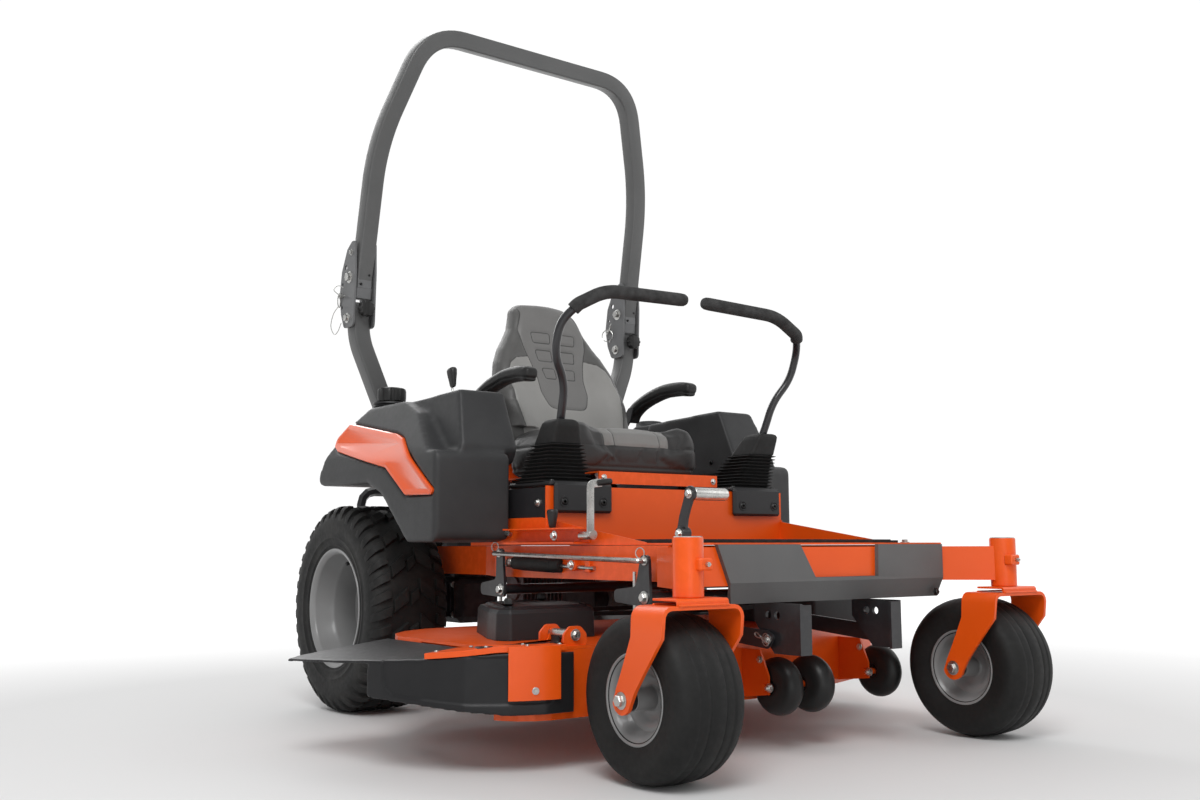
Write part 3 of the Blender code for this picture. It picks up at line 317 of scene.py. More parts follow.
def metal(name, colour, rough=0.3, streaks=None):
    """Bare or plated metal with fine drawn scratches along one direction."""
    m = Nodes(name)
    stretch = m.make("ShaderNodeMapping")
    stretch.inputs["Scale"].default_value = streaks or (1.0, 1.0, 1.0)
    m.link(m.place, stretch.inputs["Vector"])
    lines = m.noise(260.0, 4.0, 0.6, stretch.outputs["Vector"])
    dull = tuple(c * 0.72 for c in colour)
    m.link(m.mix(m.ramp(m.noise(30.0), 0.0, 1.0, 0.35, 0.7), colour, dull), m.shader.inputs["Base Color"])
    m.link(m.ramp(lines, rough - 0.08, rough + 0.14, 0.3, 0.7), m.shader.inputs["Roughness"])
    m.bump([(lines, 0.08, 0.0004)])
    m.set(Metallic=1.0)
    return m.material


def tyre_rubber(name, colour, dust):
    """Tyre rubber: matt black, a little dust in the hollows and a faint mould grain."""
    m = Nodes(name)
    dusty = m.ramp(m.noise(16.0, 5.0, 0.65), 0.0, 0.8, 0.42, 0.75)
    m.link(m.mix(dusty, colour, dust), m.shader.inputs["Base Color"])
    m.link(m.ramp(m.noise(90.0), 0.52, 0.78), m.shader.inputs["Roughness"])
    m.bump([(m.noise(40.0, 4.0), 0.08, 0.002), (m.noise(700.0, 2.0), 0.14, 0.0006)])
    m.set(Specular_IOR_Level=0.3)
    return m.material


def cast(name, colour):
    """Painted sand casting: lumpy surface and uneven gloss."""
    m = Nodes(name)
    light = tuple(c * 1.7 + 0.01 for c in colour)
    m.link(m.mix(m.ramp(m.noise(35.0, 5.0), 0.0, 1.0, 0.35, 0.7), colour, light),
           m.shader.inputs["Base Color"])
    m.link(m.ramp(m.noise(120.0), 0.42, 0.68), m.shader.inputs["Roughness"])
    m.bump([(m.noise(260.0, 4.0, 0.6), 0.35, 0.0014)])
    m.set(Metallic=0.35)
    return m.material


def foam(name, colour):
    """Closed-cell foam or soft rubber: very matt, with tiny open cells."""
    m = Nodes(name)
    light = tuple(c * 1.8 + 0.006 for c in colour)
    m.link(m.mix(m.ramp(m.noise(45.0, 4.0), 0.0, 1.0, 0.35, 0.7), colour, light),
           m.shader.inputs["Base Color"])
    m.link(m.ramp(m.noise(200.0), 0.68, 0.88), m.shader.inputs["Roughness"])
    m.bump([(m.cells(1100.0), 0.35, 0.0006)])
    m.set(Specular_IOR_Level=0.25)
    return m.material


ORANGE = painted("orange_paint", (0.78, 0.092, 0.005), (0.73, 0.082, 0.004), 0.34, 0.15)
INSERT_ORANGE = painted("insert_orange", (0.8, 0.095, 0.007), (0.76, 0.084, 0.006), 0.16, 0.7)
BLACK_PAINT = painted("black_paint", (0.016, 0.016, 0.018), (0.022, 0.022, 0.024), 0.3, 0.4)
HOOP_PAINT = painted("hoop_paint", (0.075, 0.076, 0.076), (0.09, 0.091, 0.091), 0.4, 0.2)
PLATE_PAINT = painted("hinge_plate_paint", (0.105, 0.107, 0.11), (0.125, 0.127, 0.13), 0.42, 0.2)
RIM_PAINT = painted("rim_paint", (0.2, 0.2, 0.2), (0.24, 0.24, 0.24), 0.34, 0.3)
GREY_PLASTIC = moulded("grey_plastic", (0.024, 0.0245, 0.0255), 0.48)
COVER_PLASTIC = moulded("cover_plastic", (0.075, 0.075, 0.075), 0.5)
BLACK_PLASTIC = moulded("black_plastic", (0.008, 0.008, 0.009), 0.42)
KNOB_PLASTIC = moulded("knob_plastic", (0.01, 0.01, 0.01), 0.38, 0.1)
TYRE = tyre_rubber("tyre_rubber", (0.01, 0.01, 0.01), (0.03, 0.029, 0.027))
SMOOTH_TYRE = tyre_rubber("caster_tyre_rubber", (0.008, 0.008, 0.008), (0.016, 0.016, 0.015))
BOOT_RUBBER = tyre_rubber("boot_rubber", (0.012, 0.012, 0.012), (0.022, 0.022, 0.022))
FOAM = foam("grip_foam", (0.024, 0.024, 0.024))
MAT_RUBBER = foam("mat_rubber", (0.012, 0.012, 0.012))
ZINC = metal("zinc_plate", (0.62, 0.62, 0.6), 0.3)
BLACK_STEEL = metal("black_oxide_steel", (0.06, 0.06, 0.06), 0.42)
HOT_STEEL = metal("muffler_steel", (0.3, 0.27, 0.24), 0.45)
CASTING = cast("dark_casting", (0.022, 0.022, 0.024))
GREY_CASTING = cast("grey_casting", (0.1, 0.1, 0.105))


# ------------------------------------------------------------------ shaping


def rounded(points, radius, steps=4):
    """The outline with each corner turned into an arc of that radius, where it fits."""
    result = []
    count = len(points)
    for i in range(count):
        here = Vector(points[i])
        back = Vector(points[i - 1]) - here
        ahead = Vector(points[(i + 1) % count]) - here
        angle = back.angle(ahead, pi)
        if angle > pi - 0.15:
            result.append(tuple(here))
            continue
        reach = min(radius / max(1e-6, sin(angle / 2) / cos(angle / 2)), back.length * 0.45,
                    ahead.length * 0.45)
        first = here + back.normalized() * reach
        last = here + ahead.normalized() * reach
        for k in range(steps + 1):
            t = k / steps
            result.append(tuple(first * (1 - t) ** 2 + here * 2 * t * (1 - t) + last * t * t))
    return result


def bent(points, radius, steps=6):
    """The open 3-D path with each inner corner turned into an arc."""
    path = [Vector(points[0])]
    for before, here, after in zip(points, points[1:], points[2:]):
        here = Vector(here)
        back = Vector(before) - here
        ahead = Vector(after) - here
        reach = min(radius, back.length * 0.48, ahead.length * 0.48)
        first = here + back.normalized() * reach
        last = here + ahead.normalized() * reach
        for k in range(steps + 1):
            t = k / steps
            path.append(first * (1 - t) ** 2 + here * 2 * t * (1 - t) + last * t * t)
    path.append(Vector(points[-1]))
    return path


def smooth_path(points, steps=6):
    """A smooth curve through the points."""
    points = [Vector(p) for p in points]
    padded = [points[0] * 2 - points[1]] + points + [points[-1] * 2 - points[-2]]
    path = []
    for a, b, c, d in zip(padded, padded[1:], padded[2:], padded[3:]):
        for k in range(steps):
            t = k / steps
            path.append(((b * 2) + (c - a) * t + (a * 2 - b * 5 + c * 4 - d) * t * t
                         + (b * 3 - a - c * 3 + d) * t ** 3) / 2)
    path.append(points[-1])
    return path


def circle(radius, sides, start=0.0):
    return [(radius * cos(start + tau * i / sides), radius * sin(start + tau * i / sides))
            for i in range(sides)]


def rectangle(half_width, half_height, radius=0.0, steps=3):
    """A rectangle about the origin, its corners rounded where a radius is given."""
    corners = [(-half_width, -half_height), (half_width, -half_height), (half_width, half_height),
               (-half_width, half_height)]
    return rounded(corners, radius, steps) if radius else corners


def mm(*values, size=2):
    """Points of 2 or 3 coordinates, given one after another in millimetres."""
    return list(zip(*[iter([value / 1000 for value in values])] * size))


def new():
    return bmesh.new()


def skin(bm, rings, closed=False, caps=True):
    """Faces between neighbouring rings of vertices; the end rings are capped, or joined to each other."""
    faces = []
    for low, high in list(zip(rings, rings[1:])) + ([(rings[-1], rings[0])] if closed else []):
        for i in range(len(low)):
            j = (i + 1) % len(low)
            corners = list(dict.fromkeys((low[i], low[j], high[j], high[i])))
            if len(corners) > 2:
                faces.append(bm.faces.new(corners))
    if caps and not closed:
        faces += [bm.faces.new(rings[0]), bm.faces.new(rings[-1])]
    bmesh.ops.recalc_face_normals(bm, faces=faces)
    return bm


def stack(bm, layers):
    """Closed outlines of 3-D points, skinned in their order."""
    return skin(bm, [[bm.verts.new(point) for point in layer] for layer in layers])


def prism(bm, outline, low, high, plane="z"):
    """A flat outline given depth along one axis: z takes (x, y), y takes (x, z), x takes (y, z)."""
    order = {"z": lambda a, b, d: (a, b, d),
             "y": lambda a, b, d: (a, d, b),
             "x": lambda a, b, d: (d, a, b)}[plane]
    return stack(bm, [[order(a, b, depth) for a, b in outline] for depth in (low, high)])


def box(bm, low, high):
    outline = [(low[0], low[1]), (high[0], low[1]), (high[0], high[1]), (low[0], high[1])]
    return prism(bm, outline, low[2], high[2])


def sweep(bm, path, profile, up=(0, 0, 1), closed=False, scale=None):
    """The closed profile carried along the path without twisting."""
    path = [Vector(p) for p in path]
    count = len(path)
    rings = []
    side = None
    for i, here in enumerate(path):
        before = path[i - 1] if (i or closed) else here
        after = path[(i + 1) % count] if (i + 1 < count or closed) else here
        along = (after - before).normalized()
        if side is None:
            side = along.cross(Vector(up))
            if side.length < 1e-4:
                side = along.cross(Vector((1, 0, 0)))
        side = (side - along * side.dot(along)).normalized()
        over = side.cross(along)
        size = scale[i] if scale else 1.0
        rings.append([bm.verts.new(here + (side * a + over * b) * size) for a, b in profile])
    return skin(bm, rings, closed)


def tube(bm, path, radius, sides=12, closed=False, scale=None):
    return sweep(bm, path, circle(radius, sides), closed=closed, scale=scale)


def rod(bm, start, end, radius, sides=20):
    return sweep(bm, [start, end], circle(radius, sides, pi / sides))


def lathe(bm, profile, centre, axis="x", steps=48, closed=True):
    """The (radius, height) profile turned about an axis through the centre."""
    place = {"x": lambda r, h, a: (h, r * cos(a), r * sin(a)),
             "y": lambda r, h, a: (r * cos(a), h, r * sin(a)),
             "z": lambda r, h, a: (r * cos(a), r * sin(a), h)}[axis]
    centre = Vector(centre)
    rings = []
    for radius, height in profile:
        if radius < 1e-6:
            rings.append([bm.verts.new(centre + Vector(place(0.0, height, 0.0)))] * steps)
        else:
            rings.append([bm.verts.new(centre + Vector(place(radius, height, tau * i / steps)))
                          for i in range(steps)])
    return skin(bm, rings, closed, caps=False)


def turned(half):
    """A whole (radius, height) profile from its upper half, which ends at the middle."""
    return half + [(r, -h) for r, h in reversed(half[:-1])]


def mirrored(bm, side):
    """Right-hand geometry is made at negative X; the left-hand piece is its mirror image."""
    if side == LEFT:
        bmesh.ops.scale(bm, vec=(-1, 1, 1), verts=bm.verts)
        bmesh.ops.reverse_faces(bm, faces=bm.faces)
    return bm


def shown(name, data):
    """A new object of the scene."""
    thing = bpy.data.objects.new(name, data)
    bpy.context.scene.collection.objects.link(thing)
    return thing


def solid(name, bm):
    """The mesh as an object in the machine's own coordinates."""
    mesh = bpy.data.meshes.new(name)
    bm.to_mesh(mesh)
    bm.free()
    return shown(name, mesh)


def coat(mesh, material):
    """One finish all over, smooth shading."""
    mesh.materials.clear()
    mesh.materials.append(material)
    mesh.polygons.foreach_set("use_smooth", [True] * len(mesh.polygons))


def loose(name, bm, material, sharp=None):
    """The mesh as a piece that doesn't follow any body yet."""
    piece = solid(name, bm)
    piece.data.transform(Matrix.Translation(ORIGIN))
    coat(piece.data, material)
    if sharp is not None:
        piece.data.set_sharp_from_angle(angle=radians(sharp))
    return piece


def add(name, bm, material, body, bevel=0.0, segments=2, sharp=None, slot=None, node=None):
    """The mesh as a piece that moves with a body of the frame, in place of a CAD node where one is named."""
    piece = loose(name, bm, material, None if bevel else sharp)
    if bevel:
        add_bevel(piece, bevel, segments)
    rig.ride(piece, body)
    if slot:
        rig.slot(piece, slot)
    if node:
        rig.replaces(piece, node)
    return piece


def add_bevel(piece, width, segments=2):
    bevel = piece.modifiers.new("bevel", "BEVEL")
    bevel.width = width
    bevel.segments = segments
    bevel.limit_method = "ANGLE"
    bevel.angle_limit = radians(35)
    bevel.harden_normals = True


def dress(name, material, bevel):
    """A CAD node keeps its shape and gets its finish and softened edges."""
    node = NODES[name]
    coat(node.data, material)
    add_bevel(node, bevel)


def freeze(piece):
    """The modifiers' result becomes the mesh itself."""
    bpy.context.view_layer.update()
    evaluated = piece.evaluated_get(bpy.context.evaluated_depsgraph_get())
    mesh = bpy.data.meshes.new_from_object(evaluated)
    piece.modifiers.clear()
    piece.data = mesh
    return mesh


def cut_away(bm, cutter):
    """The solid less the cutter."""
    whole, tool = solid("whole", bm), solid("tool", cutter)
    modifier = whole.modifiers.new("cut", "BOOLEAN")
    modifier.operation = "DIFFERENCE"
    modifier.object = tool
    modifier.solver = "EXACT"
    freeze(whole)
    result = new()
    result.from_mesh(whole.data)
    for piece in (whole, tool):
        bpy.data.objects.remove(piece)
    return result


# ----------------------------------------------------------------- hardware

FASTENERS = {}


def fastener_mesh(body, kind="zinc"):
    return FASTENERS.setdefault((body, kind), bmesh.new())


def hex_bolt(body, place, direction, radius=0.0075, washer=True, kind="zinc"):
    """A flanged hexagon head standing on a surface."""
    bm = fastener_mesh(body, kind)
    along = Vector(direction).normalized()
    place = Vector(place)
    if washer:
        sweep(bm, [place - along * 0.0005, place + along * 0.0014, place + along * 0.0018],
              circle(radius * 1.45, 20), scale=[1.0, 1.0, 0.94])
    sweep(bm, [place, place + along * radius * 0.85, place + along * radius * 1.0], circle(radius, 6),
          scale=[1.0, 1.0, 0.86])


def nut_and_thread(body, place, direction, radius=0.0075):
    """A nut with the bolt's thread standing through it."""
    hex_bolt(body, place, direction, radius)
    along = Vector(direction).normalized()
    base = Vector(place) + along * radius
    rings = [base + along * 0.0012 * i for i in range(6)]
    scale = [1.0, 0.88, 1.0, 0.88, 1.0, 0.8]
    sweep(fastener_mesh(body), rings, circle(radius * 0.58, 12), scale=scale)


def socket_screw(body, place, direction, radius=0.009, kind="black"):
    """A round-headed screw with a hexagon socket."""
    bm = fastener_mesh(body, kind)
    along = Vector(direction).normalized()
    place = Vector(place)
    steps = [place - along * 0.001, place + along * 0.002, place + along * 0.0042, place + along * 0.0046,
             place + along * 0.0046, place + along * 0.0022]
    sweep(bm, steps, circle(radius, 18), scale=[1.0, 1.0, 0.82, 0.7, 0.42, 0.4])


def hairpin(body, place, across, along, size=0.03):
    """A wire cotter pin: straight leg, waisted leg and an open loop."""
    place, across, along = Vector(place), Vector(across), Vector(along)
    shape = [(-0.2, 0.16), (0.7, 0.16), (0.95, 0.42), (0.7, 0.55), (0.42, 0.36), (0.2, 0.05), (0.0, -0.14),
             (-0.25, 0.1), (-0.5, 0.3), (-0.75, 0.25)]
    path = smooth_path([place + along * a * size + across * b * size for a, b in shape], 5)
    tube(fastener_mesh(body), path, 0.0014, 8)


def wire_ring(body, centre, normal, radius, thickness=0.0016):
    normal = Vector(normal).normalized()
    first = normal.orthogonal().normalized()
    second = normal.cross(first)
    path = [Vector(centre) + first * radius * cos(tau * i / 28) + second * radius * sin(tau * i / 28)
            for i in range(28)]
    tube(fastener_mesh(body), path, thickness, 8, closed=True)


def coil_spring(bm, start, end, radius, wire, turns):
    start, end = Vector(start), Vector(end)
    along = (end - start).normalized()
    first = along.orthogonal().normalized()
    second = along.cross(first)
    steps = int(turns * 14)
    path = []
    for i in range(steps + 1):
        angle = tau * turns * i / steps
        path.append(start.lerp(end, i / steps) + (first * cos(angle) + second * sin(angle)) * radius)
    tube(bm, path, wire, 6)


def place_fasteners():
    finishes = {"zinc": ZINC, "black": BLACK_STEEL}
    for (body, kind), bm in sorted(FASTENERS.items()):
        add(f"fasteners_{kind}_{body}", bm, finishes[kind], body, sharp=30)


# ------------------------------------------------------------- drive wheels


def tyre_carcass(side):
    """Drive tyre's body, with fine moulded rings round both walls."""
    half = mm(152, 90.5, 153.5, 98.5, 160, 102.5, 172, 106, 173.5, 108.2, 176.5, 108.5, 178.5, 107.2, 193,
              111, 194.5, 112.8, 197.5, 113, 199.5, 111.8, 215, 114, 232, 114.2, 248, 111.5, 260, 104.5, 268,
              94, 273, 78, 275.5, 48, 276.8, 0)
    return lathe(new(), turned(half) + [(0.152, -0.0905)], (side * REAR_X, 0.0, REAR_R), "x", 96)


def tread_block(bm, side, section, angle, width, twist, mirror):
    """One tread block: a strip over the tyre's surface, raised and turned with the pattern."""
    layers = []
    for i, (radius, height, lift) in enumerate(section):
        t = i / (len(section) - 1)
        half = width * (0.5 - 0.06 * (1 - t))
        corners = ((radius - 0.002, -1.06), (radius - 0.002, 1.06), (radius + lift, 0.86),
                   (radius + lift, -0.86))
        turns = [(reach, angle + twist * t + half * spread) for reach, spread in corners]
        layers.append([(side * REAR_X + height * mirror, r * sin(a), REAR_R + r * cos(a)) for r, a in turns])
    stack(bm, layers)


def drive_tyre(side):
    """The tyre and its tread: two rows of shoulder blocks, two inner rows and a broken centre row."""
    name, body = f"drive_tyre_{SIDE_NAME[side]}", f"drive_wheel_{SIDE_NAME[side]}"
    add(f"turf_{name}", tyre_carcass(side), TYRE, body, sharp=50, slot="tyre_rubber", node=name)
    bm = new()
    shoulder = mm(242, 112, 4, 256, 107.5, 7.5, 266.5, 97.5, 10.5, 272.2, 85, 11.2, 274.5, 68, 10.8, size=3)
    inner = [(0.275, 0.06, 0.0098), (0.2758, 0.04, 0.0098), (0.2765, 0.018, 0.0092)]
    pitches = 38
    for i in range(pitches):
        for mirror in (-1, 1):
            angle = tau * (i + (0.5 if mirror > 0 else 0.0)) / pitches
            tread_block(bm, side, shoulder, angle, 0.098, 0.085, mirror)
            if i % 2 == 0:
                tread_block(bm, side, inner, angle + 0.13, 0.15, 0.11, mirror)
                centre = [(0.2766, 0.013, 0.0088), (0.2768, 0.0, 0.0088), (0.2766, -0.011, 0.0088)]
                if mirror > 0:
                    tread_block(bm, side, centre, angle + 0.165, 0.12, -0.06, 1)
    add(f"tread_{name}", bm, TYRE, body, bevel=0.0012, segments=1, slot="tyre_rubber")


def drive_rim(side):
    """Pressed rim, hub cap, wheel nuts and valve."""
    name, body = f"drive_rim_{SIDE_NAME[side]}", f"drive_wheel_{SIDE_NAME[side]}"
    outer = mm(164, 106, 165.5, 103.5, 164, 101, 160, 101, 156, 100, 152.5, 96, 151.5, 90.5, 151.5, 50, 144,
               40, 144, -30, 151.5, -42, 151.5, -94, 156, -100, 162, -103, 164, -106, 160, -107, 149, -102,
               147, -96, 146.5, -45, 140, -38, 124, -42, 112, -56, 70, -60, 0, -60, 0, -54, 64, -54, 72, -50,
               86, -49, 108, -48, 120, -36, 134, -30, 139.5, -26, 140, 35, 142, 44, 147, 52, 148, 93, 150, 99,
               157, 104.5, 160, 106)
    centre = (side * REAR_X, 0.0, REAR_R)
    bm = lathe(new(), [(r, side * h) for r, h in outer], centre, "x", 96)
    rod(bm, (centre[0] - side * 0.056, 0, centre[2]), (centre[0] - side * 0.121, 0, centre[2]), 0.055, 32)
    add(f"pressed_{name}", bm, RIM_PAINT, body, sharp=40, slot="rim_grey", node=name)
    face = centre[0] - side * 0.0495
    for i in range(5):
        angle = tau * i / 5 + 0.3
        place = (face, 0.0572 * cos(angle), centre[2] + 0.0572 * sin(angle))
        nut_and_thread(body, place, (side, 0, 0), 0.0095)
    cap = mm(0, 0, 26, 0, 26, 10, 22, 16, 14, 18, 0, 18)
    bm = lathe(new(), [(r, side * h) for r, h in cap], (face, 0.0, centre[2]), "x", 32, closed=False)
    add(f"hub_cap_{SIDE_NAME[side]}", bm, CASTING, body, sharp=30)
    bm = new()
    start = Vector((centre[0] + side * 0.03, 0.0, centre[2] + 0.1385))
    rod(bm, start, start + Vector((side * 0.03, 0.0, -0.014)), 0.0042, 12)
    rod(bm, start + Vector((side * 0.029, 0, -0.0135)), start + Vector((side * 0.04, 0.0, -0.0185)), 0.005,
        12)
    add(f"valve_stem_{SIDE_NAME[side]}", bm, KNOB_PLASTIC, body, sharp=35)


# ------------------------------------------------------------------ casters


def caster_tyre(side):
    """Smooth tyre with two fine ribs beside the crown."""
    name, body = f"caster_tyre_{SIDE_NAME[side]}", f"caster_wheel_{SIDE_NAME[side]}"
    half = mm(80, 64, 80.5, 70, 85, 71.8, 93, 71.6, 96, 72.8, 108, 77, 122, 80.5, 134, 81.5, 144, 79, 152,
              72.5, 158, 62, 161.2, 50, 162.2, 44, 161.2, 42.4, 161.8, 40, 163.5, 29, 164, 21, 162.8, 19.5,
              164.2, 17.8, 165, 0)
    bm = lathe(new(), turned(half), (side * CASTER_X, CASTER_AXLE_Y, CASTER_R), "x", 96)
    add(f"ribbed_{name}", bm, SMOOTH_TYRE, body, sharp=60, slot="tyre_rubber", node=name)


def caster_rim(side):
    """Dished rim and the plastic sleeves at both ends of its axle."""
    name, body = f"caster_rim_{SIDE_NAME[side]}", f"caster_wheel_{SIDE_NAME[side]}"
    centre = (side * CASTER_X, CASTER_AXLE_Y, CASTER_R)
    half = mm(10.2, 78, 21.5, 78, 22.5, 77, 22.5, 30, 26, 27, 36, 26.2, 43, 30, 48, 37, 56, 40, 62, 40, 68,
              48, 72, 60, 76, 65, 80, 69, 85, 72.6, 88, 72, 88, 70, 80.5, 64)
    profile = half + [(r, -h) for r, h in reversed(half)]
    bm = lathe(new(), profile, centre, "x", 72)
    add(f"dished_{name}", bm, RIM_PAINT, body, sharp=35, slot="rim_grey", node=name)
    for s in SIDES:
        sleeve = mm(11, 76, 20.5, 76, 21.5, 80, 21.5, 90.5, 20, 92.5, 11, 92.5)
        bm = lathe(new(), [(r, s * h) for r, h in sleeve], centre, "x", 32)
        add(f"axle_sleeve_{SIDE_NAME[side]}_{SIDE_NAME[s]}", bm, BLACK_PLASTIC, body, sharp=30)


def caster_fork(side):
    """One bent plate over the wheel, a folded stiffener on it, and the axle bolt."""
    name, body = f"caster_fork_{SIDE_NAME[side]}", f"caster_yoke_{SIDE_NAME[side]}"
    x = side * CASTER_X
    top, reach, bend, wall = 0.344, 0.102, 0.024, 0.008
    line = [(reach, CASTER_R - 0.0275 * cos(a)) for a in (0.0, 0.35, 0.7, 1.05, 1.35)]
    line += [(reach, CASTER_R + 0.02), (reach, 0.215), (reach, 0.25), (reach, 0.285), (reach, top - bend)]
    line += [(reach - bend + bend * cos(a), top - bend + bend * sin(a)) for a in (0.4, 0.8, 1.2, pi / 2)]
    line += [(0.035, top), (0.0, top)]
    line += [(-a, b) for a, b in reversed(line[:-1])]
    foot = 0.0275
    bm = new()
    rows = []
    for across, height in line:
        t = min(1.0, max(0.0, (height - CASTER_R) / 0.125))
        middle = CASTER_AXLE_Y + (CASTER_SWIVEL_Y + 0.0015 - CASTER_AXLE_Y) * t
        half = foot + (0.0465 - foot) * t ** 1.3
        if height < CASTER_R:
            half = sqrt(max(4e-6, foot ** 2 - (CASTER_R - height) ** 2))
        rows.append([bm.verts.new((x + across, middle + half * s, height)) for s in (-1, -0.5, 0.0, 0.5, 1)])
    for low, high in zip(rows, rows[1:]):
        for j in range(4):
            bm.faces.new((low[j], low[j + 1], high[j + 1], high[j]))
    bmesh.ops.recalc_face_normals(bm, faces=bm.faces)
    piece = add(f"bent_{name}", bm, ORANGE, body, slot="chassis_paint", node=name)
    plate = piece.modifiers.new("plate", "SOLIDIFY")
    plate.thickness = wall
    plate.offset = -1.0
    add_bevel(piece, 0.0018)
    front, rear = CASTER_SWIVEL_Y - 0.044, CASTER_SWIVEL_Y + 0.03
    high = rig.box(name)[1].z
    section = [(front, top), (front, high - 0.004), (front + 0.004, high), (rear, high),
               (rear, high - 0.0045), (front + 0.007, high - 0.0045), (front + 0.005, high - 0.007),
               (front + 0.005, top)]
    add(f"stiffener_{name}", prism(new(), section, x - 0.064, x + 0.064, "x"), ORANGE, body, bevel=0.001)
    bm = new()
    for y in (front - 0.001, rear + 0.001):
        weld_bead(bm, (x - 0.062, y, top + 0.0005), (x + 0.062, y, top + 0.0005), 0.003)
    add(f"weld_{name}", bm, ORANGE, body)
    for s in SIDES:
        place = Vector((x + s * reach, CASTER_AXLE_Y, CASTER_R))
        hex_bolt(body, place, (s, 0, 0), 0.0115)
        rod(fastener_mesh(body), place, place - Vector((s * 0.024, 0, 0)), 0.0095, 16)


def weld_bead(bm, start, end, radius):
    """A row of overlapping ripples along a joint."""
    start, end = Vector(start), Vector(end)
    count = max(4, int((end - start).length / (radius * 0.9)))
    points = [start.lerp(end, i / count) for i in range(count + 1)]
    scale = [1.0 if i % 2 else 0.78 for i in range(count + 1)]
    tube(bm, points, radius, 8, scale=scale)


def swivel_tube(side):
    """Turned sleeve round the swivel tube, its plated rim, the dust cap and a grease nipple."""
    x = side * CASTER_X
    low, high = [corner.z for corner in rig.box("front_beam")]
    wall = [(0.0292, low + 0.0006), (0.0302, low + 0.002), (0.0302, high - 0.003), (0.0292, high - 0.0004),
            (0.023, high - 0.0004), (0.023, low + 0.0006)]
    ring = [(0.0215, high - 0.002), (0.028, high - 0.002), (0.0284, high + 0.0012), (0.0262, high + 0.0022),
            (0.0215, high + 0.0022)]
    cap = [(0.0, high + 0.0008), (0.012, high + 0.0008), (0.02, high + 0.0004), (0.0216, high - 0.0015),
           (0.0216, high - 0.006), (0.0, high - 0.006)]
    for name, profile, material, sharp in (("sleeve", wall, ORANGE, 35), ("rim", ring, ZINC, 30),
                                           ("cap", cap, BLACK_PLASTIC, 30)):
        bm = lathe(new(), profile, (x, CASTER_SWIVEL_Y, 0.0), "z", 40, closed=name != "cap")
        add(f"swivel_{name}_{SIDE_NAME[side]}", bm, material, "chassis", sharp=sharp)
    middle = Vector((x - side * 0.01, CASTER_SWIVEL_Y - 0.0435, 0.42))
    bm = rod(new(), middle, middle - Vector((0, 0.006, 0)), 0.0045, 14)
    rod(bm, middle - Vector((0, 0.005, 0)), middle - Vector((0, 0.01, 0)), 0.0022, 12)
    add(f"grease_nipple_{SIDE_NAME[side]}", bm, ZINC, "chassis", sharp=30)


for side in SIDES:
    drive_tyre(side)
    drive_rim(side)
    caster_tyre(side)
    caster_rim(side)
    caster_fork(side)
    swivel_tube(side)


# ---------------------------------------------------------------- roll hoop

HOOP_HALF = 0.0254
HOOP_X, HOOP_Y, HOOP_Z = 0.497, 0.056, 1.2
PIVOT = joint_place("hoop_fold")


def roll_hoop():
    """Square tube with rounded corners, smooth bends and a thin band at each end."""
    low = HOOP_Z - 0.018
    start = (-HOOP_X, HOOP_Y + 0.0034, low)
    half = [start, (-0.49, -0.028, 1.64), (-0.374, -0.115, 1.984)]
    path = half + [(-x, y, z) for x, y, z in reversed(half)]
    bm = sweep(new(), bent(path, 0.118, 12), rectangle(HOOP_HALF - 0.0003, HOOP_HALF - 0.0003, 0.0065),
               up=(0, 1, 0))
    add("square_hoop", bm, HOOP_PAINT, "roll_hoop", sharp=40, slot="hoop_grey", node="rops_hoop")
    for side in SIDES:
        x = side * HOOP_X
        wrap = rectangle(HOOP_HALF + 0.0006, HOOP_HALF + 0.0006, 0.0068)
        bm = sweep(new(), [(x, HOOP_Y - 0.002, low + 0.002),
                           (x - side * 0.0003, HOOP_Y - 0.006, low + 0.034)], wrap, up=(0, 1, 0))
        add(f"hoop_end_band_{SIDE_NAME[side]}", bm, PLATE_PAINT, "roll_hoop", bevel=0.0006)


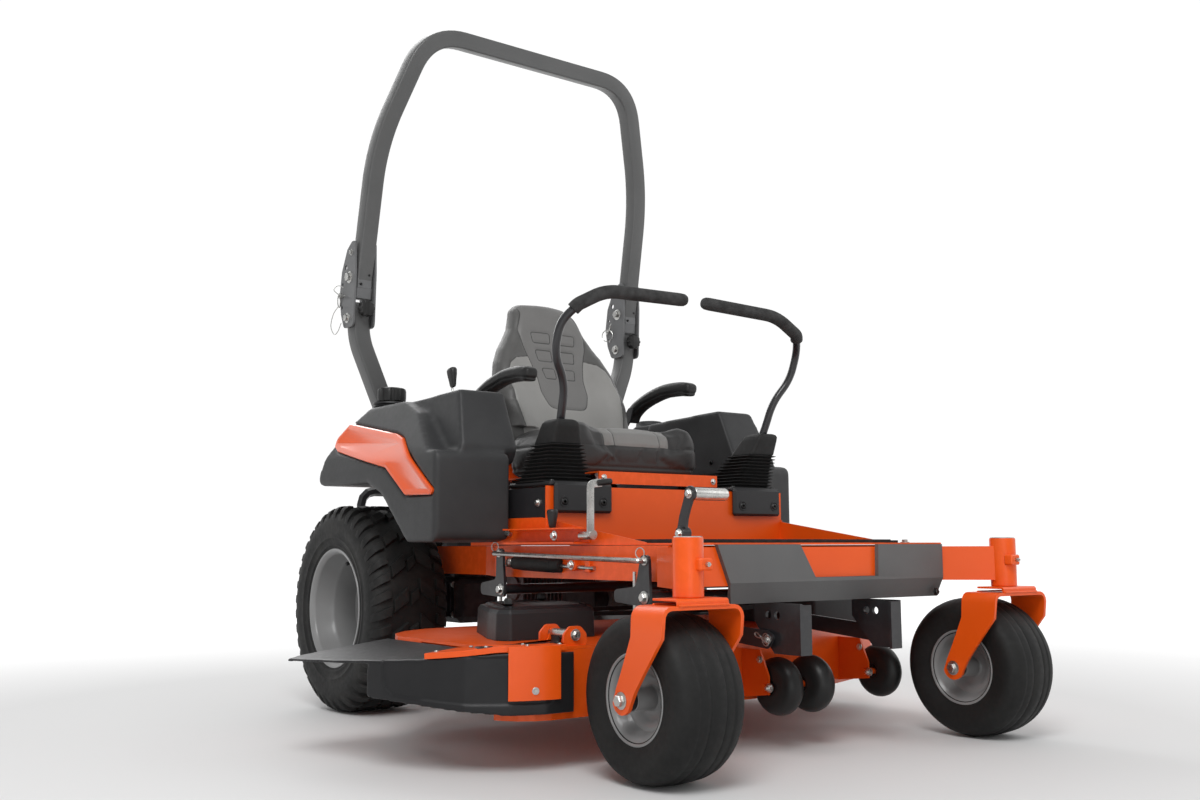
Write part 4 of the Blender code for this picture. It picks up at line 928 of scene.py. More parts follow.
def roll_post(side):
    """Lower post with two pierced hinge plates and the hardware that locks the hoop."""
    name = SIDE_NAME[side]
    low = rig.box(f"rops_post_{name}")[0].z
    path = [(-0.3, 0.04, low), (-0.3, 0.04, 0.56), (-0.34, 0.045, 0.69),
            (-HOOP_X, HOOP_Y + 0.006, 1.07), (-HOOP_X, HOOP_Y, HOOP_Z - 0.03)]
    bm = mirrored(sweep(new(), bent(path, 0.11, 10), rectangle(HOOP_HALF, HOOP_HALF, 0.0065), up=(0, 1, 0)),
                  side)
    add(f"square_post_{name}", bm, HOOP_PAINT, "chassis", sharp=40, slot="hoop_grey",
        node=f"rops_post_{name}")
    y, z = HOOP_Y, HOOP_Z
    outline = [(y + 0.03, z - 0.104), (y + 0.052, z - 0.06), (y + 0.064, z + 0.0), (y + 0.052, z + 0.07),
               (y + 0.018, z + 0.132), (y - 0.014, z + 0.152), (y - 0.036, z + 0.15), (y - 0.04, z + 0.06),
               (y - 0.034, z - 0.104)]
    for offset in (-1, 1):
        middle = -HOOP_X + offset * (HOOP_HALF + 0.0065)
        bm = prism(new(), rounded(outline, 0.018, 5), middle - 0.003, middle + 0.003, "x")
        holes = new()
        for a, b, radius in ((0.024, 0.078, 0.008), (0.044, 0.03, 0.005), (0.046, -0.04, 0.0055)):
            rod(holes, (middle - 0.01, y + a, z + b), (middle + 0.01, y + a, z + b), radius, 20)
        bm = mirrored(cut_away(bm, holes), side)
        add(f"hinge_plate_{name}_{'outer' if offset < 0 else 'inner'}", bm, PLATE_PAINT, "chassis",
            bevel=0.0007)
        face = side * (HOOP_X - offset * (HOOP_HALF + 0.0096))
        outward = (-offset * side, 0, 0)
        for dy, height, radius in ((-0.004, PIVOT.z, 0.0125), (0.006, z - 0.076, 0.0105),
                                   (-0.014, z + 0.118, 0.0065)):
            hex_bolt("chassis", (face, y + dy, height), outward, radius)
    front = y - HOOP_HALF - 0.003
    bm = box(new(), (side * HOOP_X - 0.022, front - 0.004, z + 0.012),
             (side * HOOP_X + 0.022, front, z + 0.062))
    add(f"latch_plate_{name}", bm, PLATE_PAINT, "roll_hoop", bevel=0.0008)
    for s in SIDES:
        socket_screw("roll_hoop", (side * HOOP_X + s * 0.0126, front - 0.004, z + 0.037 + s * 0.0144),
                     (0, -1, 0), 0.004)
    star_knob(f"lock_knob_{name}", (side * HOOP_X, y - HOOP_HALF - 0.003, z - 0.052), "chassis")
    pull_pin(side)


def star_knob(name, place, body):
    """A lobed hand knob on a short threaded stud."""
    place = Vector(place)
    lobes, radius = 10, 0.0235
    outline = []
    for angle in [tau * i / (lobes * 8) for i in range(lobes * 8)]:
        reach = radius + 0.0016 * cos(lobes * angle)
        outline.append((reach * cos(angle), reach * sin(angle)))
    path = [place - Vector((0, d, 0)) for d in (0.01, 0.0115, 0.026, 0.03, 0.0315)]
    add(name, sweep(new(), path, outline, scale=[0.9, 0.98, 1.0, 0.93, 0.8]), KNOB_PLASTIC, body, sharp=40)
    rod(fastener_mesh(body), place, place - Vector((0, 0.012, 0)), 0.0075, 14)


def pull_pin(side):
    """The locking pin with its head, spring clip and wire lanyard."""
    outer = side * (HOOP_X + HOOP_HALF + 0.01)
    inner = side * (HOOP_X - HOOP_HALF - 0.01)
    y, z = HOOP_Y + 0.034, HOOP_Z - 0.006
    bm = fastener_mesh("chassis")
    rod(bm, (outer + side * 0.012, y, z), (inner - side * 0.01, y, z), 0.0052, 14)
    rod(bm, (outer + side * 0.008, y, z), (outer + side * 0.014, y, z), 0.0085, 16)
    wire_ring("chassis", (outer + side * 0.011, y + 0.008, z - 0.016), (0.4 * side, 0.3, 0), 0.0175)
    loop = [(outer + side * 0.011, y + 0.012, z - 0.03), (outer + side * 0.016, y + 0.034, z - 0.05),
            (outer + side * 0.018, y + 0.046, z - 0.085), (outer + side * 0.014, y + 0.03, z - 0.112),
            (outer + side * 0.01, y + 0.012, z - 0.104), (outer + side * 0.004, y + 0.004, z - 0.08)]
    tube(bm, smooth_path(loop, 6), 0.0013, 8)
    arc_high = [(outer + side * 0.011, y + 0.006, z + 0.002), (outer + side * 0.018, y + 0.03, z + 0.022),
                (outer + side * 0.01, y + 0.02, z + 0.034), (outer + side * 0.002, y - 0.004, z + 0.026)]
    tube(bm, smooth_path(arc_high, 6), 0.0013, 8)
    wire_ring("chassis", (inner - side * 0.012, y + 0.002, z - 0.018), (0.9 * side, 0.5, 0), 0.02)
    hairpin("chassis", (inner - side * 0.006, y, z), (0, 0, 1), (0, 0.6, -0.8), 0.026)


# ------------------------------------------------------------ control levers


def control_lever(side):
    """Bent round bar with a soft grip that closes in a rounded end."""
    name, body = SIDE_NAME[side], f"lap_lever_{SIDE_NAME[side]}"
    path = mm(-322, -712, 640, -345, -772, 771, -352, -800, 850, -400, -822, 915, -400, -850, 990, -370, -880,
              1030, -290, -884, 1072, -40, -878, 1080, size=3)
    line = bent(path, 0.04, 8)
    add(f"bent_bar_{name}", mirrored(tube(new(), line, 0.0105, 20), side), BLACK_PAINT, body, sharp=40,
        slot="black_enamel", node=f"lap_bar_{name}")
    grip = bent(mm(-379, -871, 1017.5, -370, -880, 1030, -290, -884, 1072, -28, -878, 1080.3, size=3), 0.04,
                10)
    ends = [grip[0].lerp(grip[1], t) for t in (0.0, 0.04, 0.12)]
    tip = [grip[-2].lerp(grip[-1], t) for t in (0.9, 0.955, 0.985, 1.0)]
    line = ends + grip[1:-1] + tip
    scale = [0.84, 0.97, 1.0] + [1.0] * (len(grip) - 2) + [1.0, 0.95, 0.78, 0.46]
    bm = mirrored(tube(new(), line, 0.0168, 28, scale=scale), side)
    add(f"soft_grip_{name}", bm, FOAM, body, sharp=70, slot="soft_rubber", node=f"lap_grip_{name}")


def boot_centre(height):
    """Middle of the boot at a height: it leans outwards and forwards with the lever."""
    t = (height - 0.6125) / 0.1525
    return Vector((-0.312 - 0.03 * t, -0.69 - 0.078 * t, height))


def boot_part(name, side, profile, bodies, heights):
    """Square rings up a part of the boot, closed; it bends between two bodies over the given heights."""
    layers = [[boot_centre(height) + Vector((x, y, 0.0)) for x, y in rectangle(half, half, half * 0.3, 4)]
              for height, half in profile]
    bm = stack(new(), layers)
    piece = loose(f"{name}_{SIDE_NAME[side]}", mirrored(bm, side), BOOT_RUBBER, 45)
    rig.slot(piece, "soft_rubber")
    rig.replaces(piece, f"lever_boot_{SIDE_NAME[side]}")
    mirror = Vector((-side, 1.0, 1.0))
    start, end = [ORIGIN + boot_centre(height) * mirror for height in heights]
    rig.blend(piece, *bodies, start, end)


def lever_boot(side):
    """Rubber bellows of sharp pleats held at the foot, and a tapered cap that leans with the lap bar."""
    pleats, low, high = 10, 0.6165, 0.696
    foot = [(0.6125, 0.0745), (0.615, 0.0745)]
    neck = [(0.6575, 0.052)]
    for i in range(pleats):
        t = i / (pleats - 1)
        height = low + (high - low) * t
        half = 0.0735 - 0.0215 * t
        rings = [(height, half - 0.0095), (height + 0.0022, half - 0.0088), (height + 0.0046, half - 0.0006),
                 (height + 0.0054, half), (height + 0.006, half - 0.001)]
        if i < pleats // 2:
            foot += rings
        else:
            neck += rings
    neck += mm(704, 42, 705.5, 44.5, 708.5, 44, 744, 37.5, 754, 35, 760, 30, 763, 23, 763.5, 15, 760, 14, 745,
               13.8)
    carrier, lever = f"lever_carrier_{SIDE_NAME[side]}", f"lap_lever_{SIDE_NAME[side]}"
    boot_part("bellows", side, foot, ("chassis", carrier), (low, 0.6578))
    boot_part("boot_cap", side, neck, (carrier, lever), (0.662, 0.735))


def boot_plate_screws(side):
    low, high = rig.box(f"boot_plate_{SIDE_NAME[side]}")
    front = low.y - ORIGIN.y
    for x in (0.235, 0.352):
        socket_screw("chassis", (side * x, front + 0.0012, 0.562), (0, -1, 0), 0.0085)
        ring = mm(9.8, 0, 13, 0, 12.5, -2.2, 10.2, -2.2)
        bm = lathe(new(), ring, (side * x, front + 0.0004, 0.562), "y", 28)
        add(f"boot_plate_boss_{SIDE_NAME[side]}_{round(x * 1000)}", bm, BLACK_PLASTIC, "chassis", sharp=40)
    for x in (0.222, 0.372):
        socket_screw("chassis", (side * x, -0.772, high.z - 0.0005), (0, 0, 1), 0.0062)


roll_hoop()
for side in SIDES:
    roll_post(side)
    control_lever(side)
    lever_boot(side)
    boot_plate_screws(side)


# --------------------------------------------------------------------- seat

BACK_FOOT_Z = 0.78
BACK_SLOPE = 0.364
GROOVE = 0.0022


def from_outline(points, outline):
    """Distance of each (a, b) row from a closed flat outline, negative inside it."""
    a, b = points[:, 0], points[:, 1]
    nearest = np.full(len(points), 1e6)
    inside = np.zeros(len(points), bool)
    for (ax, ay), (bx, by) in zip(outline, outline[1:] + outline[:1]):
        dx, dy = bx - ax, by - ay
        t = np.clip(((a - ax) * dx + (b - ay) * dy) / (dx * dx + dy * dy + 1e-12), 0.0, 1.0)
        nearest = np.minimum(nearest, (a - ax - t * dx) ** 2 + (b - ay - t * dy) ** 2)
        if ay != by:
            crossed = ((ay > b) != (by > b)) & (a < ax + dx * (b - ay) / dy)
            inside ^= crossed
    return np.where(inside, -1.0, 1.0) * np.sqrt(nearest)


def seat_vinyl(name, edge, light, middle):
    """Vinyl in three tones: the panels come from distances stored on the mesh, with sewn lines between."""
    m = Nodes(name)

    def stored(key):
        return m.make("ShaderNodeAttribute", attribute_name=key).outputs["Fac"]

    drift = m.ramp(m.noise(9.0, 4.0), 0.0, 1.0, 0.3, 0.7)
    tones = [m.mix(drift, colour, tuple(c * 1.16 for c in colour)) for colour in (edge, light, middle)]
    base = m.mix(m.ramp(stored("light_panel"), 1.0, 0.0, -0.0006, 0.0006), tones[0], tones[1])
    base = m.mix(m.ramp(stored("middle_panel"), 1.0, 0.0, -0.0006, 0.0006), base, tones[2])
    sewn = m.ramp(stored("seam"), 1.0, 0.0, 0.0006, 0.0022)
    base = m.mix(sewn, base, tuple(c * 0.35 for c in edge))
    m.link(base, m.shader.inputs["Base Color"])
    m.link(m.ramp(m.noise(180.0, 3.0), 0.36, 0.54), m.shader.inputs["Roughness"])
    pebbles = m.cells(330.0, "SMOOTH_F1")
    m.bump([(m.noise(16.0, 3.0), 0.16, 0.004), (pebbles, 0.3, 0.0009), (m.noise(900.0, 2.0), 0.1, 0.0003)])
    m.set(Sheen_Weight=0.08, Sheen_Roughness=0.4, Specular_IOR_Level=0.4)
    return m.material


def coordinates(mesh):
    flat = np.empty(len(mesh.vertices) * 3)
    mesh.vertices.foreach_get("co", flat)
    return flat.reshape(-1, 3)


def blow_up(piece, cap, pressure):
    """Swells the closed mesh as cloth for 20 frames; no point moves further than the cap."""
    rest = coordinates(piece.data)
    cloth = piece.modifiers.new("pad", "CLOTH")
    cloth.settings.use_pressure = True
    cloth.settings.uniform_pressure_force = pressure
    cloth.settings.effector_weights.gravity = 0.0
    cloth.settings.quality = 5
    for frame_number in range(1, 21):
        bpy.context.scene.frame_set(frame_number)
    mesh = freeze(piece)
    move = coordinates(mesh) - rest
    length = np.linalg.norm(move, axis=1, keepdims=True)
    move *= np.minimum(1.0, cap / np.maximum(length, 1e-9))
    mesh.vertices.foreach_set("co", (rest + move).ravel())
    bpy.context.scene.frame_set(1)


def remesh(piece, voxel):
    even = piece.modifiers.new("even", "REMESH")
    even.mode = "VOXEL"
    even.voxel_size = voxel


def soft_form(name, bm, voxel, crown, cap, pressure=4.0):
    """A padded shape: remeshed evenly, crowned, swollen as cloth and subdivided once."""
    piece = solid(name, bm)
    remesh(piece, voxel)
    mesh = freeze(piece)
    mesh.vertices.foreach_set("co", crown(coordinates(mesh)).ravel())
    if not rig.quick():
        blow_up(piece, cap, pressure)
    smooth = piece.modifiers.new("smooth", "SUBSURF")
    smooth.levels = 1
    freeze(piece)
    return piece


def sew(piece, seams, panels, limit, material, body, fill, node, slot):
    """Presses the sewn lines in, keeps the pad inside its room, and stores the panels' distances."""
    mesh = piece.data
    points = coordinates(mesh)
    normals = np.empty(len(mesh.vertices) * 3)
    mesh.vertices.foreach_get("normal", normals)
    normals = normals.reshape(-1, 3)
    nearest = seams(points)
    points = points - normals * (GROOVE * np.exp(-(nearest / 0.0042) ** 2))[:, None]
    points = limit(points)
    mesh.vertices.foreach_set("co", points.ravel())
    for key, value in {"seam": nearest, **panels(points)}.items():
        mesh.attributes.new(key, "FLOAT", "POINT").data.foreach_set("value", value.astype(np.float32))
    mesh.transform(Matrix.Translation(ORIGIN))
    coat(mesh, material)
    mesh.update()
    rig.ride(piece, body)
    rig.padded(piece, fill)
    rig.replaces(piece, node)
    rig.slot(piece, slot)


def both_halves(half):
    """A half outline, from the bottom up at positive x, closed with its mirror image."""
    return half + [(-x, z) for x, z in reversed(half)]


CENTRE_PANEL = rounded(both_halves(mm(64, 853, 82, 900, 82, 945, 94, 995, 112, 1045, 120, 1095, 96, 1150, 88,
                                      1230)), 0.03, 4)
LIGHT_PANEL = both_halves(mm(150, 690, 172, 790, 190, 870, 192, 920, 186, 960, 172, 986, 146, 1004, 100,
                             1012))
EMBOSSED = [mm(14, 1056, 74, 1056, 80, 1088, 14, 1088),
            mm(14, 1000, 64, 1000, 70, 1034, 14, 1034),
            mm(14, 946, 52, 946, 59, 978, 14, 978)]


def back_rest():
    """High backrest: crowned centre, raised side bolsters and a narrow headrest."""
    half = mm(205, 724, 226, 800, 228, 870, 222, 930, 208, 985, 186, 1030, 160, 1066, 138, 1100, 124, 1136,
              112, 1166, 82, 1186)
    outline = rounded(both_halves(half), 0.03, 3)
    depths = mm(-324, 955, -318, 985, -300, 1000, -262, 985, -246, 940)
    bm = stack(new(), [[(x * size, y, 0.95 + (z - 0.95) * size) for x, z in outline] for y, size in depths])

    def crown(points):
        x, y, z = points.T
        up = np.maximum(0.0, z - BACK_FOOT_Z)
        front = np.clip((-0.275 - y) / 0.045, 0.0, 1.0)
        width = np.interp(z, [0.72, 0.87, 0.97, 1.05, 1.11, 1.19], [0.215, 0.236, 0.22, 0.182, 0.142, 0.08])
        side = np.abs(x) / width
        bolster = 0.026 * np.exp(-((side - 0.8) / 0.2) ** 2) * np.clip((1.06 - z) / 0.16, 0.0, 1.0)
        lumbar = 0.012 * np.exp(-((z - 0.86) / 0.07) ** 2) * (1 - side ** 2)
        head = 0.016 * np.clip((z - 1.02) / 0.08, 0.0, 1.0) * (1 - np.clip(side, 0, 1) ** 2)
        roll = -0.016 * np.clip((z - 1.13) / 0.06, 0.0, 1.0) ** 2
        moved = y - front * (bolster + lumbar + head + roll)
        behind = np.clip((y + 0.28) / 0.03, 0.0, 1.0)
        moved = moved + up * BACK_SLOPE - behind * up * 0.1
        return np.stack([x * (1 - behind * up * 0.45), moved, z], 1)

    def flat(points):
        return points[:, [0, 2]]

    def on_front(points):
        up = np.maximum(0.0, points[:, 2] - BACK_FOOT_Z)
        return points[:, 1] - up * BACK_SLOPE + 0.292

    def seams(points):
        distances = [np.abs(from_outline(flat(points), shape)) for shape in (CENTRE_PANEL, LIGHT_PANEL)]
        distances[1] = np.where(from_outline(flat(points), CENTRE_PANEL) < 0, 1.0, distances[1])
        for shape in EMBOSSED:
            for side in SIDES:
                loop = rounded([(side * x, z) for x, z in shape], 0.006, 2)
                distances.append(np.abs(from_outline(flat(points), loop)))
        nearest = np.minimum.reduce(distances)
        welt = np.abs(on_front(points) - 0.022)
        return np.minimum(np.where(on_front(points) < 0.0, nearest, 1.0), welt)

    def panels(points):
        back = on_front(points) * 0.2
        return {"light_panel": np.maximum(from_outline(flat(points), LIGHT_PANEL), back),
                "middle_panel": np.maximum(from_outline(flat(points), CENTRE_PANEL), back)}

    def limit(points):
        low = points[:, 2] < 0.79
        points[:, 1] = np.where(low, np.maximum(points[:, 1], -0.3345), points[:, 1])
        points[:, 2] = np.maximum(points[:, 2], 0.7205)
        return points

    tones = seat_vinyl("seat_vinyl_back", (0.074, 0.073, 0.071), (0.215, 0.212, 0.204), (0.128, 0.126, 0.123))
    pad = soft_form("backrest_pad", bm, 0.0055, crown, 0.008)
    sew(pad, seams, panels, limit, tones, "seat", 0.8, "seat_backrest", "seat_vinyl")


def seat_cushion():
    """Seat cushion: flat underneath, crowned on top, thick front nose and a lighter middle."""
    outline = rounded(mm(-205, -648, 205, -648, 240, -600, 240, -340, -240, -340, -240, -600), 0.05, 5)
    heights = mm(646.5, 965, 654, 995, 700, 1000, 728, 985, 740, 930)
    bm = stack(new(), [[(x * size, -0.494 + (y + 0.494) * size, z) for x, y in outline]
                       for z, size in heights])

    def crown(points):
        x, y, z = points.T
        top = np.clip((z - 0.69) / 0.05, 0.0, 1.0)
        side = np.clip(np.abs(x) / 0.24, 0.0, 1.0)
        middle = 0.016 * (1 - side ** 2)
        bolster = 0.02 * np.exp(-((side - 0.78) / 0.18) ** 2)
        nose = 0.008 * np.exp(-((y + 0.6) / 0.05) ** 2)
        rear = np.clip((y + 0.36) / 0.03, 0.0, 1.0)
        return np.stack([x, y, z + top * (middle + bolster + nose) * (1 - 0.6 * rear)], 1)

    insert = rounded(mm(-100, -760, 100, -760, 118, -560, 118, -430, 100, -300, -100, -300, -118, -430, -118,
                        -560), 0.03, 3)

    def seams(points):
        x, y, z = points.T
        above = z > 0.7215
        flat = points[:, [0, 1]]
        lines = [np.abs(np.abs(x) - 0.078), np.abs(from_outline(flat, insert))]
        lines += [np.abs(y - place) + 10.0 * (np.abs(x) > 0.078) for place in (-0.59, -0.53, -0.47, -0.41)]
        upper = np.where(above, np.minimum.reduce(lines), 1.0)
        around = np.abs(z - 0.7205)
        skirt = np.abs(z - 0.664)
        return np.minimum(np.minimum(upper, around), skirt)

    def panels(points):
        below = 0.7205 - points[:, 2]
        inside = np.maximum(from_outline(points[:, [0, 1]], insert), below)
        return {"light_panel": inside, "middle_panel": np.full(len(points), 1.0)}

    def limit(points):
        points[:, 2] = np.maximum(points[:, 2], 0.6446)
        points[:, 1] = np.minimum(points[:, 1], -0.3355)
        points[:, 0] = np.clip(points[:, 0], -0.2535, 0.2535)
        return points

    tones = seat_vinyl("seat_vinyl_cushion", (0.024, 0.024, 0.024), (0.165, 0.163, 0.157), (0.06, 0.06, 0.06))
    pad = soft_form("cushion_pad", bm, 0.0055, crown, 0.01)
    sew(pad, seams, panels, limit, tones, "seat", 0.8, "seat_cushion", "seat_vinyl")


def armrest_pad(side, material):
    """Padded armrest on a flat steel bracket, folding up beside the backrest."""
    body = "armrest_arm_" + SIDE_NAME[side]
    path = smooth_path(mm(-279.5, -258, 838, -279.5, -276, 866, -279.5, -330, 893, -279.5, -420, 913, -279.5,
                          -500, 914, -279.5, -546, 905, size=3), 6)
    scale = [0.92 + 0.08 * min(1.0, i / 8) for i in range(len(path))]
    scale[-1] = 0.78
    scale[-2] = 0.93
    bm = mirrored(sweep(new(), path, rectangle(0.0212, 0.0185, 0.01), scale=scale), side)

    def crown(points):
        x, y, z = points.T
        top = np.clip((z - 0.905) / 0.02, 0.0, 1.0)
        return np.stack([x, y, z + top * 0.002], 1)

    def seams(points):
        return np.abs(points[:, 2] - arm_line(points[:, 1]))

    def arm_line(y):
        return np.interp(y, [-0.546, -0.5, -0.42, -0.33, -0.276], [0.897, 0.905, 0.904, 0.884, 0.857])

    def panels(points):
        away = np.full(len(points), 1.0)
        return {"light_panel": away, "middle_panel": away}

    def limit(points):
        out = np.abs(points[:, 0])
        points[:, 0] = side * np.clip(out, 0.2568, 0.3022)
        return points

    pad = soft_form("armrest_pad_" + SIDE_NAME[side], bm, 0.0045, crown, 0.004)
    sew(pad, seams, panels, limit, material, body, 0.9, "armrest_" + SIDE_NAME[side], "moulded_black")
    outline = rounded(mm(-300, 876, -276, 878, -238, 838, -240, 816, -262, 812, -282, 832), 0.012, 4)
    bm = mirrored(prism(new(), outline, -0.2565, -0.2525, "x"), side)
    add("armrest_bracket_" + SIDE_NAME[side], bm, BLACK_PAINT, body, 0.001)
    hex_bolt(body, (side * 0.2565, -0.258, 0.835), (side, 0, 0), 0.007, kind="black")


def seat_fixings():
    """Brackets behind the backrest, bolts in them and in the seat plate's lip, and rubber bumpers."""
    bm = new()
    for side in SIDES:
        outline = mm(-226, 650, -226, 860, -206, 875, -190, 860, -190, 650)
        prism(bm, rounded(outline, 0.008, 3), side * 0.166 - 0.0025, side * 0.166 + 0.0025, "x")
        rod(bm, (side * 0.14, -0.208, 0.662), (side * 0.196, -0.208, 0.662), 0.007, 16)
    add("back_brackets", bm, BLACK_PAINT, "seat", 0.0008)
    for side in SIDES:
        for z in (0.7, 0.83):
            hex_bolt("seat", (side * 0.1685, -0.208, z), (side, 0, 0), 0.006)
        hex_bolt("seat", (side * 0.185, -0.7342, 0.628), (0, -1, 0), 0.0058)
    spring = new()
    for side in SIDES:
        for y in (-0.64, -0.3):
            lathe(spring, mm(0, -30, 19, -30, 21, -24, 16, -17, 21, -10, 17, -1, 0, -1),
                  (side * 0.165, y, 0.64), "z", 24, False)
    add("seat_bumpers", spring, BOOT_RUBBER, "seat", sharp=40)


seat_cushion()
back_rest()
armrest_vinyl = seat_vinyl("armrest_vinyl", (0.01, 0.01, 0.01), (0.03, 0.03, 0.03), (0.03, 0.03, 0.03))
for hand in SIDES:
    armrest_pad(hand, armrest_vinyl)
seat_fixings()


# ------------------------------------------------------- fenders and consoles

FENDER_FACE_X = -0.604
FENDER_LEAN_Z = 0.68
FENDER_LEAN = 0.45
INSERT = mm(-12, 722, 22, 738, 30, 764, -18, 803, -352, 748, -398, 733, -604, 592, -596, 580, -462, 583, -350,
            658)


def fender_face(z):
    """X of the right fender's outer face, which leans in above the wheel."""
    return FENDER_FACE_X + FENDER_LEAN * np.maximum(0.0, z - FENDER_LEAN_Z)


def offset(outline, distance):
    """The closed outline moved inward by a distance."""
    result = []
    count = len(outline)
    turn = sum(a[0] * b[1] - b[0] * a[1] for a, b in zip(outline, outline[1:] + outline[:1]))
    sign = 1.0 if turn > 0 else -1.0
    for i in range(count):
        before, here, after = Vector(outline[i - 1]), Vector(outline[i]), Vector(outline[(i + 1) % count])
        first = (here - before).normalized()
        last = (after - here).normalized()
        inward = Vector((-first.y - last.y, first.x + last.x))
        inward = inward.normalized() * sign
        lift = distance / max(0.4, abs(inward.dot(Vector((-first.y, first.x)))))
        result.append(tuple(here + inward * lift))
    return result


def blended(name, bm, voxel, iterations):
    """The solid remeshed evenly with its edges and corners blended, as a moulding's are."""
    piece = solid(name, bm)
    remesh(piece, voxel)
    blend = piece.modifiers.new("blend", "SMOOTH")
    blend.factor = 0.5
    blend.iterations = iterations
    freeze(piece)
    return piece


def copied(node):
    """The CAD node's own shape, in the machine's coordinates."""
    bm = new()
    bm.from_mesh(NODES[node].data)
    bmesh.ops.transform(bm, matrix=Matrix.Translation(-ORIGIN) @ NODES[node].matrix_world, verts=bm.verts)
    return bm


def show_skin(piece, points, material, body, node, slot):
    """Takes moved points, a finish, a body to ride and the frame node it stands for."""
    mesh = piece.data
    mesh.vertices.foreach_set("co", points.ravel())
    mesh.transform(Matrix.Translation(ORIGIN))
    coat(mesh, material)
    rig.ride(piece, body)
    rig.replaces(piece, node)
    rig.slot(piece, slot)


def moulded_fender(side):
    """The fender's own shape with blended edges, and a shallow seat for the insert."""
    node = "fender_" + SIDE_NAME[side]
    piece = blended("fender_skin_" + SIDE_NAME[side], copied(node), 0.0055, 9)
    points = coordinates(piece.data)
    points[:, 0] *= -side
    deep = from_outline(points[:, [1, 2]], rounded(INSERT, 0.014, 4))
    outer = points[:, 0] < fender_face(points[:, 2]) + 0.012
    points[:, 0] += np.clip((0.005 - deep) / 0.0025, 0.0, 1.0) * outer * 0.0062
    points[:, 0] *= -side
    show_skin(piece, points, GREY_PLASTIC, "chassis", node, "moulded_grey")


def fender_insert(side):
    """Glossy orange insert with a raised rim, following the fender's lean."""
    outline = rounded(INSERT, 0.014, 4)
    steps = mm(0, 4.5, 0, -1, 2.2, -3.4, 10.5, -4, 15, -2.2)
    bm = stack(new(), [[(out, y, z) for y, z in offset(outline, inset)] for inset, out in steps])
    for z in (0.664, 0.672, 0.68, 0.688, 0.696):
        bmesh.ops.bisect_plane(bm, geom=bm.verts[:] + bm.edges[:] + bm.faces[:], plane_co=(0, 0, z),
                               plane_no=(0, 0, 1))
    for vert in bm.verts:
        soft = max(0.0, vert.co.z - 0.664) ** 2 / 0.064 if vert.co.z < 0.696 else vert.co.z - 0.68
        vert.co.x += FENDER_FACE_X + FENDER_LEAN * soft
    add("fender_insert_" + SIDE_NAME[side], mirrored(bm, side), INSERT_ORANGE, "chassis", sharp=28)


def fender_details(side):
    """Trim screws in the front edge and on the console's inner side."""
    for y, z in ((-0.575, 0.5), (-0.575, 0.66)):
        socket_screw("chassis", (side * 0.43, y - 0.0445, z), (0, -1, 0), 0.006)
    for y in (-0.28, -0.52):
        socket_screw("chassis", (side * 0.3715, y, 0.7), (-side, 0, 0), 0.0065)


def fuel_cap():
    """Screw cap with eight grip lobes and a domed top, on a ribbed neck."""
    place = joint_place("cap_turn")
    profile = mm(37.5, 0, 40.5, 1.5, 41.5, 10, 41.5, 28, 39.5, 35, 36, 37.5, 30, 36.5, 27, 38.5, 24, 40.2)
    layers = []
    for radius, height in profile:
        layer = []
        for angle in [tau * i / 96 for i in range(96)]:
            notch = 0.5 + 0.5 * cos(8 * angle)
            depth = 0.0055 * (1.0 - min(1.0, notch * 1.9)) if 0.001 < height < 0.037 else 0.0
            reach = radius - depth
            layer.append(place + Vector((reach * cos(angle), reach * sin(angle), height)))
        layers.append(layer)
    add("fuel_cap_grip", stack(new(), layers), KNOB_PLASTIC, "filler_cap", sharp=32, node="fuel_cap")
    ribs = mm(0, -3.5, 52, -3.5, 53.5, -8, 50, -12, 52, -15, 50, -18, 56, -24, 56, -30, 0, -30)
    add("fuel_neck", lathe(new(), ribs, place, "z", 48, False), BLACK_PLASTIC, "chassis", sharp=32)


def throttle():
    """Thin steel lever with a flat tapered knob, in a slotted black bezel."""
    place = joint_place("throttle_move")
    tip = Vector((place.x, place.y + 0.014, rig.box("throttle_lever")[1].z - ORIGIN.z))
    bm = rod(new(), place + Vector((0, 0, -0.004)), tip - Vector((0, 0, 0.04)), 0.003, 12)
    add("throttle_stick", bm, ZINC, "throttle", sharp=40)
    along = (tip - place).normalized()
    spine = [tip - along * d for d in (0.052, 0.047, 0.036, 0.018, 0.006, 0.001, 0.0)]
    knob = sweep(new(), spine, rectangle(0.015, 0.0085, 0.008, 4), up=(1, 0, 0),
                 scale=[0.55, 0.7, 0.8, 1.05, 1.12, 0.9, 0.7])
    add("throttle_knob", knob, KNOB_PLASTIC, "throttle", sharp=50, node="throttle_lever")
    outlines = [[(place.x + x, place.y + y) for x, y in outline]
                for outline in (rectangle(0.018, 0.044, 0.008, 4), rectangle(0.005, 0.034, 0.0045))]
    bezel = prism(new(), outlines[0], place.z - 0.002, place.z + 0.004)
    slit = prism(new(), outlines[1], place.z - 0.01, place.z + 0.02)
    add("throttle_bezel", cut_away(bezel, slit), BLACK_PLASTIC, "chassis", 0.0008)


for hand in SIDES:
    moulded_fender(hand)
    fender_insert(hand)
    fender_details(hand)
fuel_cap()
throttle()


# ------------------------------------------------------------ deck and chute

CHUTE_EDGE = mm(-968, -620, -925, -780, -878, -905, -838, -990, -780, -1062, -700, -1112, -630, -1136, -562,
                -1136)
CHUTE_WALL_START = -0.862
HOOD_TOP = 0.244
HOOD_FALL = 0.13
HOOD_FOLD_X = -0.724
LIP_HEIGHT = 0.0118


def hood_height(x):
    """Height of the chute's top, which falls away outward."""
    return HOOD_TOP - HOOD_FALL * max(0.0, HOOD_FOLD_X - x)


